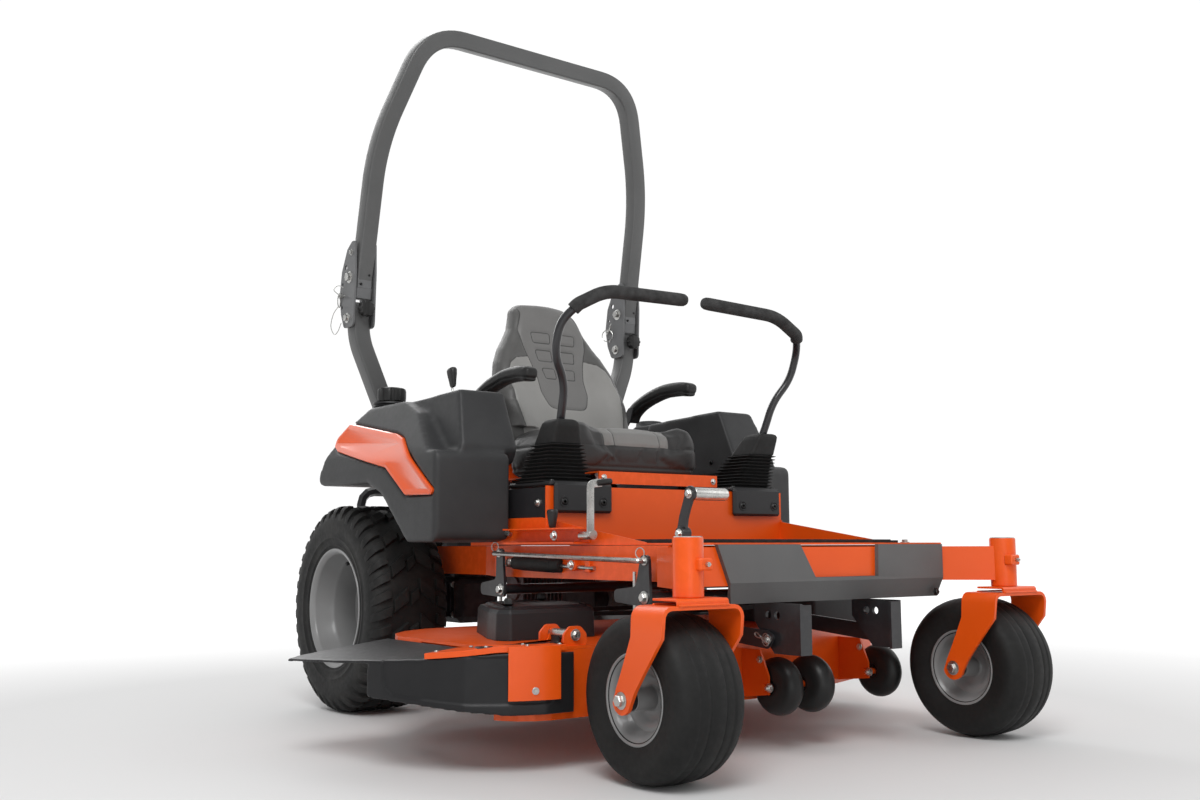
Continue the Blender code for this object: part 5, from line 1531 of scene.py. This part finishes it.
def beside(path, distance):
    """The open flat path moved sideways, to its left for positive distances."""
    result = []
    for i, here in enumerate(path):
        before = Vector(path[max(0, i - 1)])
        after = Vector(path[min(len(path) - 1, i + 1)])
        along = (after - before).normalized()
        result.append((here[0] - along.y * distance, here[1] + along.x * distance))
    return result


def along_edge(start, end, steps=24):
    """Points of the chute's front edge between two x positions."""
    curve = [tuple(p)[:2] for p in smooth_path([(x, y, 0.0) for x, y in CHUTE_EDGE], 10)]
    xs = [p[0] for p in curve]
    ys = [p[1] for p in curve]
    return [(x, float(np.interp(x, xs, ys))) for x in np.linspace(start, end, steps)]


def chute():
    """Moulded chute with a pressed panel, its riveted orange lip and its hanger plate."""
    gap = [(CHUTE_WALL_START, 0.2385), (CHUTE_WALL_START, 0.152), (-0.872, 0.13), (-0.9, 0.118),
           (-0.93, 0.116), (-0.93, 0.09), (-0.55, 0.09), (-0.55, 0.2385)]
    cutter = prism(new(), gap, -1.0, -0.7, "x")
    for vert in cutter.verts:
        if vert.co.z > 0.23:
            vert.co.z = hood_height(vert.co.x) - 0.0055
    piece = blended("chute_skin", cut_away(copied("discharge_chute"), cutter), 0.0028, 10)
    points = coordinates(piece.data)
    curve = np.array(along_edge(-0.968, -0.562, 160))
    gap = ((points[:, None, :2] - curve[None]) ** 2).sum(2)
    nearest = gap.argmin(1)
    length = np.concatenate([[0.0], np.cumsum(np.linalg.norm(np.diff(curve, axis=0), axis=1))])
    place = length[nearest]
    on_wall = (np.sqrt(gap.min(1)) < 0.012) & (points[:, 2] < 0.236)
    start = length[np.abs(curve[:, 1] - CHUTE_WALL_START).argmin()]
    panel = rounded([(start + 0.04, 0.24), (start + 0.05, 0.17), (start + 0.075, 0.156),
                     (start + 0.25, 0.142), (start + 0.42, 0.141), (start + 0.42, 0.24)], 0.014, 4)
    inside = from_outline(np.stack([place, points[:, 2]], 1), panel)
    depth = np.clip(0.5 - inside / 0.003, 0.0, 1.0) * 0.0034 * on_wall
    inward = np.gradient(curve, axis=0)[nearest]
    inward /= np.linalg.norm(inward, axis=1, keepdims=True)
    points[:, 0] -= inward[:, 1] * depth
    points[:, 1] += inward[:, 0] * depth
    show_skin(piece, points, BLACK_PLASTIC, "chute", "discharge_chute", "moulded_black")

    outer = beside(along_edge(-0.835, -0.58), 0.004)
    inner = beside(along_edge(-0.8, -0.58), 0.052)
    lip = prism(new(), outer + inner[::-1], 0.0, LIP_HEIGHT)
    for vert in lip.verts:
        vert.co.z += hood_height(vert.co.x)
    add("chute_lip", lip, ORANGE, "chute", 0.0008)
    rows = (beside(along_edge(-0.822, -0.59, 7), 0.016), beside(along_edge(-0.77, -0.62, 4), 0.042))
    for x, y in rows[0][::2] + rows[1][::2]:
        lathe(fastener_mesh("chute"), mm(0, 3, 2.8, 2.6, 4.2, 0.8, 4.2, -0.5, 0, -0.5),
              (x, y, hood_height(x) + LIP_HEIGHT + 0.0002), "z", 12, False)
    front, back, tongue = [beside(along_edge(-0.706, -0.6, 8), distance)
                           for distance in (-0.0046, -0.002, 0.02)]
    plate = prism(new(), front + back[::-1], 0.149, 0.2545)
    prism(plate, front + tongue[::-1], 0.253, 0.2562)
    add("chute_hanger_plate", plate, ORANGE, "chute", 0.0011, 3)
    x, y = beside([(-0.668, -1.1245), (-0.655, -1.129), (-0.64, -1.133)], -0.0048)[1]
    hex_bolt("chute", (x, y, 0.168), (-0.3, -0.95, 0), 0.0052)


def chute_hinge():
    """Plated sleeve between the deck's ears, its bolt, and the chute's two curled arms."""
    place = joint_place("chute_lift")
    bm = rod(new(), place + Vector((0, -0.04, 0)), place + Vector((0, 0.04, 0)), 0.0102, 24)
    add("chute_hinge_sleeve", bm, ZINC, "chute", 0.0006)
    hex_bolt("deck", place + Vector((0, -0.0472, 0)), (0, -1, 0), 0.0085)
    nut_and_thread("deck", place + Vector((0, 0.0472, 0)), (0, 1, 0), 0.008)
    arm = new()
    outline = rounded(mm(-706, 250.6, -570, 250.6, -556, 262, -549, 284, -537, 284, -531, 262, -548, 247.5,
                         -706, 247.5), 0.007, 3)
    for y in (-1.101, -1.03):
        prism(arm, [(x, max(z, 0.2506)) for x, z in outline], y - 0.002, y + 0.002, "y")
    add("chute_hinge_arms", arm, ORANGE, "chute", 0.0007)


def rollers():
    """Solid anti-scalp rollers with rounded shoulders, recessed hubs and nuts on their bolts."""
    for name in ("centre_right", "centre_left", "left"):
        node = "roller_" + name
        low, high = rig.box(node)
        centre = (low + high) / 2 - ORIGIN
        half, radius = (high.x - low.x) / 2, (high.z - low.z) / 2
        shape = [(radius * (0.3 + 0.7 * sin(turn) ** 0.62), half * cos(turn))
                 for turn in [pi * i / 14 for i in range(15)]]
        hub = [(0.012, -half * 0.9), (0.012, half * 0.9), (radius * 0.26, half * 0.9),
               (radius * 0.3, half * 0.97)]
        bm = lathe(new(), shape + [(radius * 0.3, -half * 0.97), (radius * 0.26, -half * 0.9)] + hub, centre,
                   "x", 56)
        add("scalp_" + node, bm, KNOB_PLASTIC, "scalp_roller_" + name, sharp=35, node=node)
    for x, y in ((-0.078, -1.208), (0.362, -1.114)):
        nut_and_thread("deck", (x - 0.003, y, 0.14), (-1, 0, 0), 0.0075)
        hex_bolt("deck", (x - 0.003, y + 0.03, 0.2), (-1, 0, 0), 0.006)


def belt_cover(side):
    """Moulded cover over one spindle pulley, with a stepped crown and two knobs."""
    outline = mm(-588, -832, -606, -899, -589, -932, -362, -932, -302, -850, -302, -640, -500, -640)
    shape = rounded(outline, 0.012, 3)
    steps = mm(250.8, 0, 308, 2, 316.5, 8, 318.5, 18, 323, 24, 323.8, 36)
    bm = stack(new(), [[(x, y, z) for x, y in offset(shape, inset)] for z, inset in steps])
    add("belt_cover_skin_" + SIDE_NAME[side], mirrored(bm, side), BLACK_PLASTIC, "deck", sharp=24,
        node="belt_cover_right" if side == RIGHT else None)
    knobs = new()
    for x, y in ((-0.56, -0.88), (-0.345, -0.69)):
        lathe(knobs, mm(0, 20, 9, 19, 12, 14, 12, 6, 7, 3, 7, 0, 0, 0), (x, y, 0.3215), "z", 8, False)
    add("belt_cover_knobs_" + SIDE_NAME[side], mirrored(knobs, side), KNOB_PLASTIC, "deck", 0.0008)


def push_arm(side):
    """Flat black arm between a front hanger and the deck's tab, with its clevis pins."""
    outline = mm(-1322, 262, -1300, 236, -985, 262, -965, 278, -985, 296, -1300, 274)
    bm = prism(new(), rounded(outline, 0.012, 4), -0.1745, -0.1685, "x")
    bmesh.ops.bevel(bm, geom=[e for e in bm.edges if e.calc_face_angle(0.0) > radians(40)], offset=0.0012,
                    segments=2, affect="EDGES", clamp_overlap=True)
    arm = loose("push_arm_" + SIDE_NAME[side], mirrored(bm, side), BLACK_PAINT, 35)
    start = ORIGIN + Vector((side * 0.1715, -1.29, 0.255))
    end = ORIGIN + Vector((side * 0.1715, -0.995, 0.28))
    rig.blend(arm, "chassis", "deck", start, end)
    hairpin("chassis", (side * 0.185, -1.3, 0.256), (0, 0.3, 1), (0, 1, 0), 0.026)
    wire_ring("chassis", (side * 0.18, -1.3, 0.256), (side, 0.2, 0), 0.013, 0.0013)
    hex_bolt("chassis", (side * 0.175, -1.3, 0.256), (side, 0, 0), 0.0075)


def deck_suspension(side):
    """Threaded hanger rods from the cranks to the deck's tabs, with their nuts."""
    bm = fastener_mesh("deck")
    for y in (-0.621,) if side == LEFT else (-0.621, -1.155):
        rings = [Vector((side * 0.42, y, 0.262 + 0.0022 * i)) for i in range(64)]
        sweep(bm, rings, circle(0.0042, 10), scale=[1.0 if i % 2 else 0.9 for i in range(64)])
        hex_bolt("deck", (side * 0.42, y, 0.262), (0, 0, 1), 0.008)
        hex_bolt("deck", (side * 0.42, y, 0.3), (0, 0, 1), 0.008, washer=False)
    foot = box(new(), (-0.432, -0.64, 0.25), (-0.38, -0.602, 0.262))
    add("hanger_foot_" + SIDE_NAME[side], mirrored(foot, side), ORANGE, "deck", 0.0015)


def cranks():
    """Bolts and wire rings on the crank plates."""
    for body, y, z, dy, dz in (("front_lift_crank", -1.198, 0.348, -0.001, 0.076),
                               ("rear_lift_crank", -0.633, 0.35, 0.008, 0.088)):
        for side in SIDES:
            hex_bolt(body, (side * 0.4285, y, z), (side, 0, 0), 0.0095)
            hex_bolt(body, (side * 0.4285, y + dy, z + dz), (side, 0, 0), 0.007)
            wire_ring(body, (side * 0.44, y + dy, z + dz + 0.016), (1, 0.3, 0), 0.011, 0.0012)


def assist_spring():
    """Covered coil spring beside the right rail, with its threaded eye and orange bracket."""
    start, end = Vector((-0.404, -0.66, 0.415)), Vector((-0.404, -0.9, 0.408))
    along = (end - start).normalized()
    spine = [start + along * d for d in (0.0, 0.002, 0.03, 0.172, 0.196, 0.2)]
    cover = sweep(new(), spine, circle(0.0165, 28), scale=[0.8, 0.95, 1.0, 1.0, 0.96, 0.8])
    rings = [start + along * (0.03 + 0.0042 * i) for i in range(34)]
    sweep(cover, rings, circle(0.0172, 28), scale=[1.0 if i % 2 else 0.955 for i in range(34)])
    add("assist_spring_cover", cover, BOOT_RUBBER, "chassis", sharp=50)
    bm = new()
    coil_spring(bm, start - along * 0.03, start + along * 0.004, 0.0105, 0.0022, 4)
    rod(bm, start + along * 0.198, start + along * 0.262, 0.0042, 14)
    rod(bm, start + along * 0.244, start + along * 0.33, 0.005, 14)
    add("assist_spring_ends", bm, ZINC, "chassis", sharp=40)
    outline = rounded(mm(-930, 399, -900, 399, -900, 425, -930, 425), 0.012, 4)
    eye = prism(new(), outline, -0.4145, -0.3945, "x")
    box(eye, (-0.408, -0.975, 0.396), (-0.3795, -0.958, 0.424))
    add("assist_spring_bracket", eye, ORANGE, "chassis", 0.0018)
    hex_bolt("chassis", (-0.4148, -0.915, 0.412), (-1, 0, 0), 0.0075)


for build in (chute, chute_hinge, rollers, cranks, assist_spring):
    build()
for hand in SIDES:
    belt_cover(hand)
    push_arm(hand)
    deck_suspension(hand)


# ------------------------------------------ platform, pedal, height selector


def ribbed_mat():
    """Rubber foot mat with raised cross ribs and a rolled edge."""
    low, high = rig.box("foot_mat")
    low, high = low - ORIGIN, high - ORIGIN
    outline = rounded([(low.x, low.y), (high.x, low.y), (high.x, high.y), (low.x, high.y)], 0.02, 5)
    bm = prism(new(), outline, low.z, high.z - 0.0015)
    prism(bm, outline, high.z - 0.002, high.z)
    count = 15
    for i in range(count):
        y = low.y + 0.022 + (high.y - low.y - 0.044) * i / (count - 1)
        rib = rounded([(low.x + 0.016, y - 0.0055), (high.x - 0.016, y - 0.0055),
                       (high.x - 0.016, y + 0.0055), (low.x + 0.016, y + 0.0055)], 0.005, 2)
        prism(bm, rib, high.z - 0.001, high.z + 0.0022)
    add("ribbed_foot_mat", bm, MAT_RUBBER, "chassis", 0.0009, slot="soft_rubber", node="foot_mat")


def pedal():
    """Curved flat pedal arm with a bolted silver roller."""
    x, y, z = joint_place("lift_pedal_push")
    roller_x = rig.box("lift_pedal")[1].x - ORIGIN.x
    roller = Vector((x, y - 0.025, z + 0.082))
    spine = [Vector(p) for p in ((y, z - 0.012), (y + 0.001, z + 0.012), (y - 0.004, z + 0.034),
                                 (y - 0.013, z + 0.056), (roller.y, roller.z))]
    widths = [0.015, 0.0135, 0.0125, 0.012, 0.0135]
    left, right = [], []
    for i, point in enumerate(spine):
        before, after = spine[max(0, i - 1)], spine[min(len(spine) - 1, i + 1)]
        along = (after - before).normalized()
        across = Vector((-along.y, along.x)) * widths[i]
        left.append(tuple(point + across))
        right.append(tuple(point - across))
    cap = [(roller.y + a, roller.z + b) for a, b in circle(0.0165, 20)]
    bm = prism(new(), left + right[::-1], x - 0.0035, x + 0.0035, "x")
    prism(bm, cap, x - 0.0036, x + 0.0036, "x")
    rod(bm, (x - 0.01, y, z), (x + 0.012, y, z), 0.0145, 24)
    add("pedal_arm", bm, BLACK_PAINT, "foot_lift_pedal", 0.0012, node="lift_pedal")
    half = (roller_x - x - 0.006) / 2
    middle = Vector((x + 0.006 + half, roller.y, roller.z))
    profile = [(0.0, -half), (0.0118, -half), (0.0132, -half + 0.0015), (0.0132, half - 0.004),
               (0.0122, half - 0.001), (0.0095, half), (0.0, half)]
    add("pedal_roller", lathe(new(), profile, middle, "x", 32, False), ZINC, "foot_lift_pedal", sharp=35)
    for place in ((x - 0.0038, roller.y, roller.z), (x - 0.01, y, z)):
        hex_bolt("foot_lift_pedal", place, (-1, 0, 0), 0.007)


def height_selector():
    """Bent flat silver lever with a black grip, its shaft, channel hardware and lock knob."""
    x, y, z = joint_place("height_select")
    path = bent([(x, y, z - 0.004), (x, y, z + 0.1125), (x + 0.03, y, z + 0.1165)], 0.01, 5)
    bm = sweep(new(), path, rectangle(0.009, 0.0025, 0.001, 2), up=(0, 1, 0))
    rod(bm, (x + 0.004, y + 0.006, z), (x + 0.004, y - 0.006, z), 0.0105, 24)
    add("height_lever_bar", bm, ZINC, "height_selector", 0.001, node="height_lever")
    spine = [Vector((x + 0.018 + d, y, z + 0.115 + d * 0.13)) for d in (0.0, 0.002, 0.036, 0.039, 0.04)]
    grip = sweep(new(), spine, circle(0.0075, 20), scale=[0.88, 1.0, 1.0, 0.9, 0.6])
    add("height_lever_grip", grip, KNOB_PLASTIC, "height_selector", sharp=40)
    shaft = rod(new(), (-0.418, y + 0.008, z - 0.002), (-0.418, -0.958, z - 0.002), 0.0095, 24)
    rod(shaft, (-0.418, -0.662, z + 0.004), (-0.418, -0.628, z + 0.01), 0.0055, 16)
    add("selector_shaft", shaft, ZINC, "chassis", 0.0006)
    hex_bolt("chassis", (-0.4405, -0.884, z - 0.001), (-1, 0, 0), 0.008)
    nut_and_thread("chassis", (-0.418, -0.634, z + 0.009), (0, 1, 0), 0.0085)
    knob = lathe(new(), mm(0, 0, 6.5, 0, 8.5, 4, 13.5, 36, 13, 40, 10.5, 43, 0, 44), (-0.418, -0.843, 0.4975),
                 "z", 28, False)
    add("selector_knob", knob, KNOB_PLASTIC, "chassis", sharp=35)


def platform_details():
    """Panels under the seat, bolts through the floor, the cover and the rails, and weld beads."""
    panels = new()
    for side in SIDES:
        low_x, high_x = sorted((side * 0.39, side * 0.386))
        outline = rounded(mm(-776, 470, -776, 597, -430, 597, -415, 560, -415, 470), 0.012, 3)
        prism(panels, outline, low_x, high_x, "x")
    prism(panels, mm(-385, 465, 385, 465, 385, 560, 300, 597, -300, 597, -385, 560), -0.43, -0.426, "y")
    add("under_seat_panels", panels, BLACK_PAINT, "chassis", 0.001)
    for side in SIDES:
        for y in (-0.74, -0.47):
            hex_bolt("chassis", (side * 0.3902, y, 0.56), (side, 0, 0), 0.0065)
        for y in (-1.255, -0.77):
            hex_bolt("chassis", (side * 0.34, y, 0.4612), (0, 0, 1), 0.0075)
        hex_bolt("chassis", (side * 0.352, -1.3325, 0.345), (0, -1, 0), 0.0065, kind="black")
        for y in (-1.18, -0.7):
            nut_and_thread("chassis", (side * 0.378, y, 0.418), (side, 0, 0), 0.008)
    welds = new()
    for side in SIDES:
        weld_bead(welds, (side * 0.394, -0.783, 0.462), (side * 0.394, -0.783, 0.525), 0.0022)
        weld_bead(welds, (side * 0.466, -1.419, 0.3715), (side * 0.466, -1.419, 0.3708), 0.002)
    add("platform_welds", welds, ORANGE, "chassis", sharp=50)


for build in (ribbed_mat, pedal, height_selector, platform_details):
    build()


# --------------------------------------------------- engine and running gear


def fins(bm, start, end, half_width, half_height, count, thickness=0.0022):
    """Rectangular cooling fins strung along an axis."""
    start, end = Vector(start), Vector(end)
    along = (end - start).normalized()
    section = rectangle(half_width, half_height, 0.01, 2)
    for i in range(count):
        middle = start.lerp(end, i / (count - 1))
        sweep(bm, [middle - along * thickness / 2, middle + along * thickness / 2], section)


def engine():
    """Finned cylinders, valve covers, plug leads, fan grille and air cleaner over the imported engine."""
    bm = new()
    covers = new()
    for side in SIDES:
        out = Vector((side * sin(radians(45)), cos(radians(45)), 0.0))
        base = Vector((0.0, 0.17, 0.52))
        fins(bm, base + out * 0.118, base + out * 0.205, 0.05, 0.056, 12)
        sweep(covers, [base + out * d for d in (0.206, 0.226, 0.234)], rectangle(0.042, 0.05, 0.016, 4),
              scale=[1.0, 1.0, 0.88])
        for lift in (-0.036, 0.036):
            hex_bolt("chassis", base + out * 0.234 + Vector((0, 0, lift)), out, 0.0055)
    add("cylinder_fins", bm, GREY_CASTING, "chassis", sharp=35)
    add("valve_covers", covers, BLACK_PAINT, "chassis", 0.002)
    low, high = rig.box("engine_shroud")
    centre = (low + high) / 2 - ORIGIN
    top = high.z - ORIGIN.z
    grille = new()
    for i in range(9):
        radius = 0.022 + 0.0125 * i
        lathe(grille, [(radius, 0.0), (radius + 0.0045, 0.0), (radius + 0.0045, 0.006), (radius, 0.006)],
              (centre.x, centre.y, top + 0.0005), "z", 48)
    for a, b in circle(1.0, 12):
        spoke = [(centre.x + a * reach, centre.y + b * reach, top + 0.0035) for reach in (0.018, 0.13)]
        sweep(grille, spoke, rectangle(0.003, 0.003, 0.001, 2))
    add("fan_grille", grille, BLACK_PLASTIC, "chassis", sharp=40)
    cleaner = new()
    middle = Vector((0.0, centre.y + 0.1, top - 0.11))
    profile = mm(0, -120, 34, -120, 38, -114, 38, -72, 42, -68, 42, 100, 38, 106, 0, 108)
    lathe(cleaner, profile, middle + Vector((0.0, 0.095, 0.0)), "x", 40, False)
    for offset_x in (-0.06, 0.06):
        lathe(cleaner, mm(41.5, -6, 44, -5, 44, 5, 41.5, 6), middle + Vector((offset_x, 0.095, 0.0)), "x", 40)
    add("air_cleaner", cleaner, BLACK_PLASTIC, "chassis", sharp=35)
    leads = new()
    for side in SIDES:
        tube(leads, smooth_path([(side * 0.175, 0.325, 0.565), (side * 0.165, 0.3, 0.62),
                                 (side * 0.12, 0.24, 0.64), (side * 0.07, 0.2, 0.63)], 6), 0.004, 10)
    add("plug_leads", leads, BOOT_RUBBER, "chassis", sharp=60)


def muffler_guard():
    """Slatted shield over the muffler on three rods, with its bolts."""
    bm = new()
    profile = [(0.44 + 0.064 * cos(a), 0.5 + 0.064 * sin(a))
               for a in [radians(20 * i - 20) for i in range(11)]]
    inner = [(0.44 + (y - 0.44) * 0.965, 0.5 + (z - 0.5) * 0.965) for y, z in profile]
    for i in range(9):
        x = -0.128 + 0.032 * i
        prism(bm, profile + inner[::-1], x - 0.01, x + 0.01, "x")
    for i in (0, 5, 10):
        y, z = profile[i]
        rod(bm, (-0.14, y * 0.998 + 0.0005, z), (0.14, y * 0.998 + 0.0005, z), 0.0035, 10)
    add("muffler_shield", bm, BLACK_STEEL, "chassis", sharp=35)
    for x in (-0.12, 0.12):
        hex_bolt("chassis", (x, 0.505, 0.5), (0, 1, 0), 0.006)


def transaxles():
    """Ribs, filter canisters, fans and oil hoses of the two drives."""
    for side in SIDES:
        bm = new()
        for i in range(9):
            y = -0.1 + 0.024 * i
            box(bm, (-0.2535, y, 0.25), (-0.1065, y + 0.005, 0.352))
        lathe(bm, mm(0, -46, 30, -46, 33, -40, 33, 34, 26, 42, 0, 42), (-0.18, 0.142, 0.3), "y", 32, False)
        add("transaxle_ribs_" + SIDE_NAME[side], mirrored(bm, side), CASTING, "chassis", 0.0012)
        fan = new()
        centre = Vector((-0.175, -0.05, 0.404))
        for i in range(10):
            angle = tau * i / 10
            first = centre + Vector((cos(angle), sin(angle), 0)) * 0.02
            last = centre + Vector((cos(angle + 0.3), sin(angle + 0.3), 0)) * 0.072
            sweep(fan, [first, last], mm(-12, -1, 12, 4, 12, 6, -12, 1))
        lathe(fan, mm(0, -4, 22, -4, 22, 12, 0, 12), centre, "z", 24, False)
        add("drive_fan_" + SIDE_NAME[side], mirrored(fan, side), BLACK_PLASTIC, "chassis", sharp=35)
        for y, z in ((-0.09, 0.26), (0.09, 0.26), (-0.09, 0.345), (0.09, 0.345)):
            hex_bolt("chassis", (side * 0.2505, y, z), (side, 0, 0), 0.0065)
        hoses = new()
        tube(hoses, smooth_path([(side * 0.14, 0.1, 0.366), (side * 0.12, 0.18, 0.395),
                                 (side * 0.2, 0.27, 0.4), (side * 0.268, 0.3, 0.42)], 6), 0.0075, 12)
        add("oil_hose_" + SIDE_NAME[side], hoses, BOOT_RUBBER, "chassis", sharp=60)


def drive_belt():
    """The deck's belt, its three spindle pulleys and the engine's pulley."""
    pulleys = new()
    for x, y in ((-0.4545, -0.7), (0.0, -0.865), (0.4545, -0.7)):
        lathe(pulleys, mm(0, 0, 56, 0, 56, 3, 46, 8, 56, 13, 56, 16, 0, 16), (x, y, 0.286), "z", 40, False)
        hex_bolt("deck", (x, y, 0.3022), (0, 0, 1), 0.012)
    add("spindle_pulleys", pulleys, BLACK_STEEL, "deck", sharp=35)
    loop = rounded(mm(-505, -700, -455, -752, 0, -915, 455, -752, 505, -700, 455, -650, 0, -640, -455, -650),
                   0.05, 5)
    section = mm(-6.2, -5, 6.2, -5, 5, 5, -5, 5)
    belt = sweep(new(), [(x, y, 0.294) for x, y in loop], section, closed=True)
    add("deck_belt", belt, BOOT_RUBBER, "deck", sharp=40)
    pulley = lathe(new(), mm(0, 0, 60, 0, 60, 3, 48, 10, 60, 17, 60, 20, 48, 27, 60, 34, 60, 37, 0, 37),
                   (0.0, 0.17, 0.38), "z", 40, False)
    add("engine_pulley", pulley, BLACK_STEEL, "chassis", sharp=35)


def rear_details():
    """Hitch bolts, two finned pumps, the battery and the rails' end caps."""
    for side in SIDES:
        for y in (0.08, 0.36):
            nut_and_thread("chassis", (side * 0.24, y, 0.4262), (0, 0, 1), 0.0085)
    pump = new()
    for side in SIDES:
        fins(pump, (side * 0.3, -0.5, 0.346), (side * 0.18, -0.5, 0.346), 0.04, 0.04, 11, 0.0035)
        rod(pump, (side * 0.31, -0.5, 0.346), (side * 0.17, -0.5, 0.346), 0.03, 24)
    add("idler_pumps", pump, GREY_CASTING, "chassis", sharp=35)
    battery = new()
    for half_x, half_y, radius, low, high in ((0.085, 0.1, 0.008, 0.462, 0.6),
                                              (0.089, 0.104, 0.01, 0.58, 0.592)):
        prism(battery, [(0.245 + x, y - 0.3) for x, y in rectangle(half_x, half_y, radius, 2)], low, high)
    add("battery", battery, BLACK_PLASTIC, "chassis", 0.002)
    caps = new()
    for side in SIDES:
        low_x, high_x = sorted((side * 0.2795, side * 0.3045))
        box(caps, (low_x, 0.4995, 0.384), (high_x, 0.5035, 0.452))
    add("rail_end_caps", caps, BLACK_PLASTIC, "chassis", 0.0015)


for build in (engine, muffler_guard, transaxles, drive_belt, rear_details):
    build()


# ---------------------------------------------------- frame nodes kept as is


def dress_frame():
    """Finish for every frame node that is shown as it is."""
    finishes = [
        (ORANGE, 0.002, ["frame_rail_left", "frame_rail_right", "front_beam", "foot_platform", "lift_channel",
                         "seat_plate", "deck_shell", "deck_skirt"]),
        (COVER_PLASTIC, 0.0025, ["front_cover"]),
        (BLACK_PLASTIC, 0.002, ["boot_plate_left", "boot_plate_right", "engine_shroud"]),
        (BLACK_PAINT, 0.0012, ["blade_centre", "blade_left", "blade_right", "deck_hanger_left",
                               "deck_hanger_right", "front_crank", "rear_crank", "rear_guard"]),
        (CASTING, 0.003, ["transaxle_left", "transaxle_right", "engine_block"]),
        (HOT_STEEL, 0.003, ["muffler"]),
        (ZINC, 0.001, ["lift_rod"])]
    for material, bevel, names in finishes:
        for name in names:
            dress(name, material, bevel)


dress_frame()


# ------------------------------------------------- floor, light and camera


VIEW_YAW = radians(36.6257)
BACKDROP_AWAY = 16.0


def studio():
    """Pale floor under a bright, even studio with a large soft key light."""
    floor = solid("floor", box(new(), (-30, -30, -0.02), (30, 30, 0.0)))
    m = Nodes("pale_floor")
    m.link(m.mix(m.noise(0.8), (0.66, 0.66, 0.66), (0.7, 0.7, 0.7)), m.shader.inputs["Base Color"])
    away = m.make("ShaderNodeVectorMath", operation="LENGTH")
    m.link(m.place, away.inputs[0])
    m.link(m.ramp(away.outputs["Value"], 0.0, 0.62, 1.6, 4.6), m.shader.inputs["Emission Strength"])
    m.set(Roughness=0.8, Emission_Color=(1.0, 1.0, 1.0, 1.0))
    floor.data.materials.append(m.material)
    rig.stage(floor)
    sheet = new()
    ahead = Vector((sin(VIEW_YAW), cos(VIEW_YAW), 0.0))
    aside = Vector((ahead.y, -ahead.x, 0.0))
    middle = ORIGIN + ahead * BACKDROP_AWAY
    sheet.faces.new([sheet.verts.new(middle + aside * across + Vector((0, 0, height)))
                     for across, height in ((-30, 0), (30, 0), (30, 24), (-30, 24))])
    backdrop = solid("backdrop", sheet)
    glow = Nodes("backdrop_white")
    glow.set(Base_Color=(0.0, 0.0, 0.0, 1.0), Emission_Color=(1.0, 1.0, 1.0, 1.0), Emission_Strength=1.0)
    backdrop.data.materials.append(glow.material)
    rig.stage(backdrop)
    world = bpy.data.worlds.new("studio")
    world.use_nodes = True
    background = world.node_tree.nodes["Background"]
    background.inputs["Color"].default_value = (1.0, 1.0, 1.0, 1.0)
    background.inputs["Strength"].default_value = 0.5
    bpy.context.scene.world = world
    lights = [("key", (-2.6, -3.4, 4.2), 2.6, 150.0), ("fill", (3.8, -3.0, 2.6), 3.0, 30.0),
              ("back", (0.5, 4.2, 3.8), 3.5, 90.0), ("low_front", (-2.0, -5.0, 1.0), 2.2, 14.0)]
    target = ORIGIN + Vector((0.0, -0.5, 0.6))
    for name, place, size, power in lights:
        light = bpy.data.lights.new(name, "AREA")
        light.shape = "DISK"
        light.size = size
        light.energy = power
        lamp = shown(name, light)
        lamp.location = ORIGIN + Vector(place)
        lamp.rotation_euler = (target - lamp.location).to_track_quat("-Z", "Y").to_euler()
        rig.stage(lamp)


def camera():
    """A low three-quarter view from the operator's right front."""
    data = bpy.data.cameras.new("camera")
    data.lens = 36.06
    data.sensor_width = 36.0
    data.clip_end = 200.0
    eye = shown("camera", data)
    yaw, pitch, roll = -VIEW_YAW, radians(-6.9344), radians(-0.171)
    aim = Matrix.Rotation(yaw, 4, "Z") @ Matrix.Rotation(pi / 2 - pitch, 4, "X")
    turn = aim @ Matrix.Rotation(roll, 4, "Z")
    eye.matrix_world = Matrix.Translation(ORIGIN + Vector((-2.0148, -3.1793, 0.4547))) @ turn
    bpy.context.scene.camera = eye
    bpy.context.scene.view_settings.view_transform = "Standard"


place_fasteners()
studio()
camera()
visual_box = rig.bounds()
sizes = {"cad": [list(corner) for corner in CAD_BOX], "visual": [list(corner) for corner in visual_box]}
with open("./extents.json", "w") as size_file:
    json.dump(sizes, size_file)
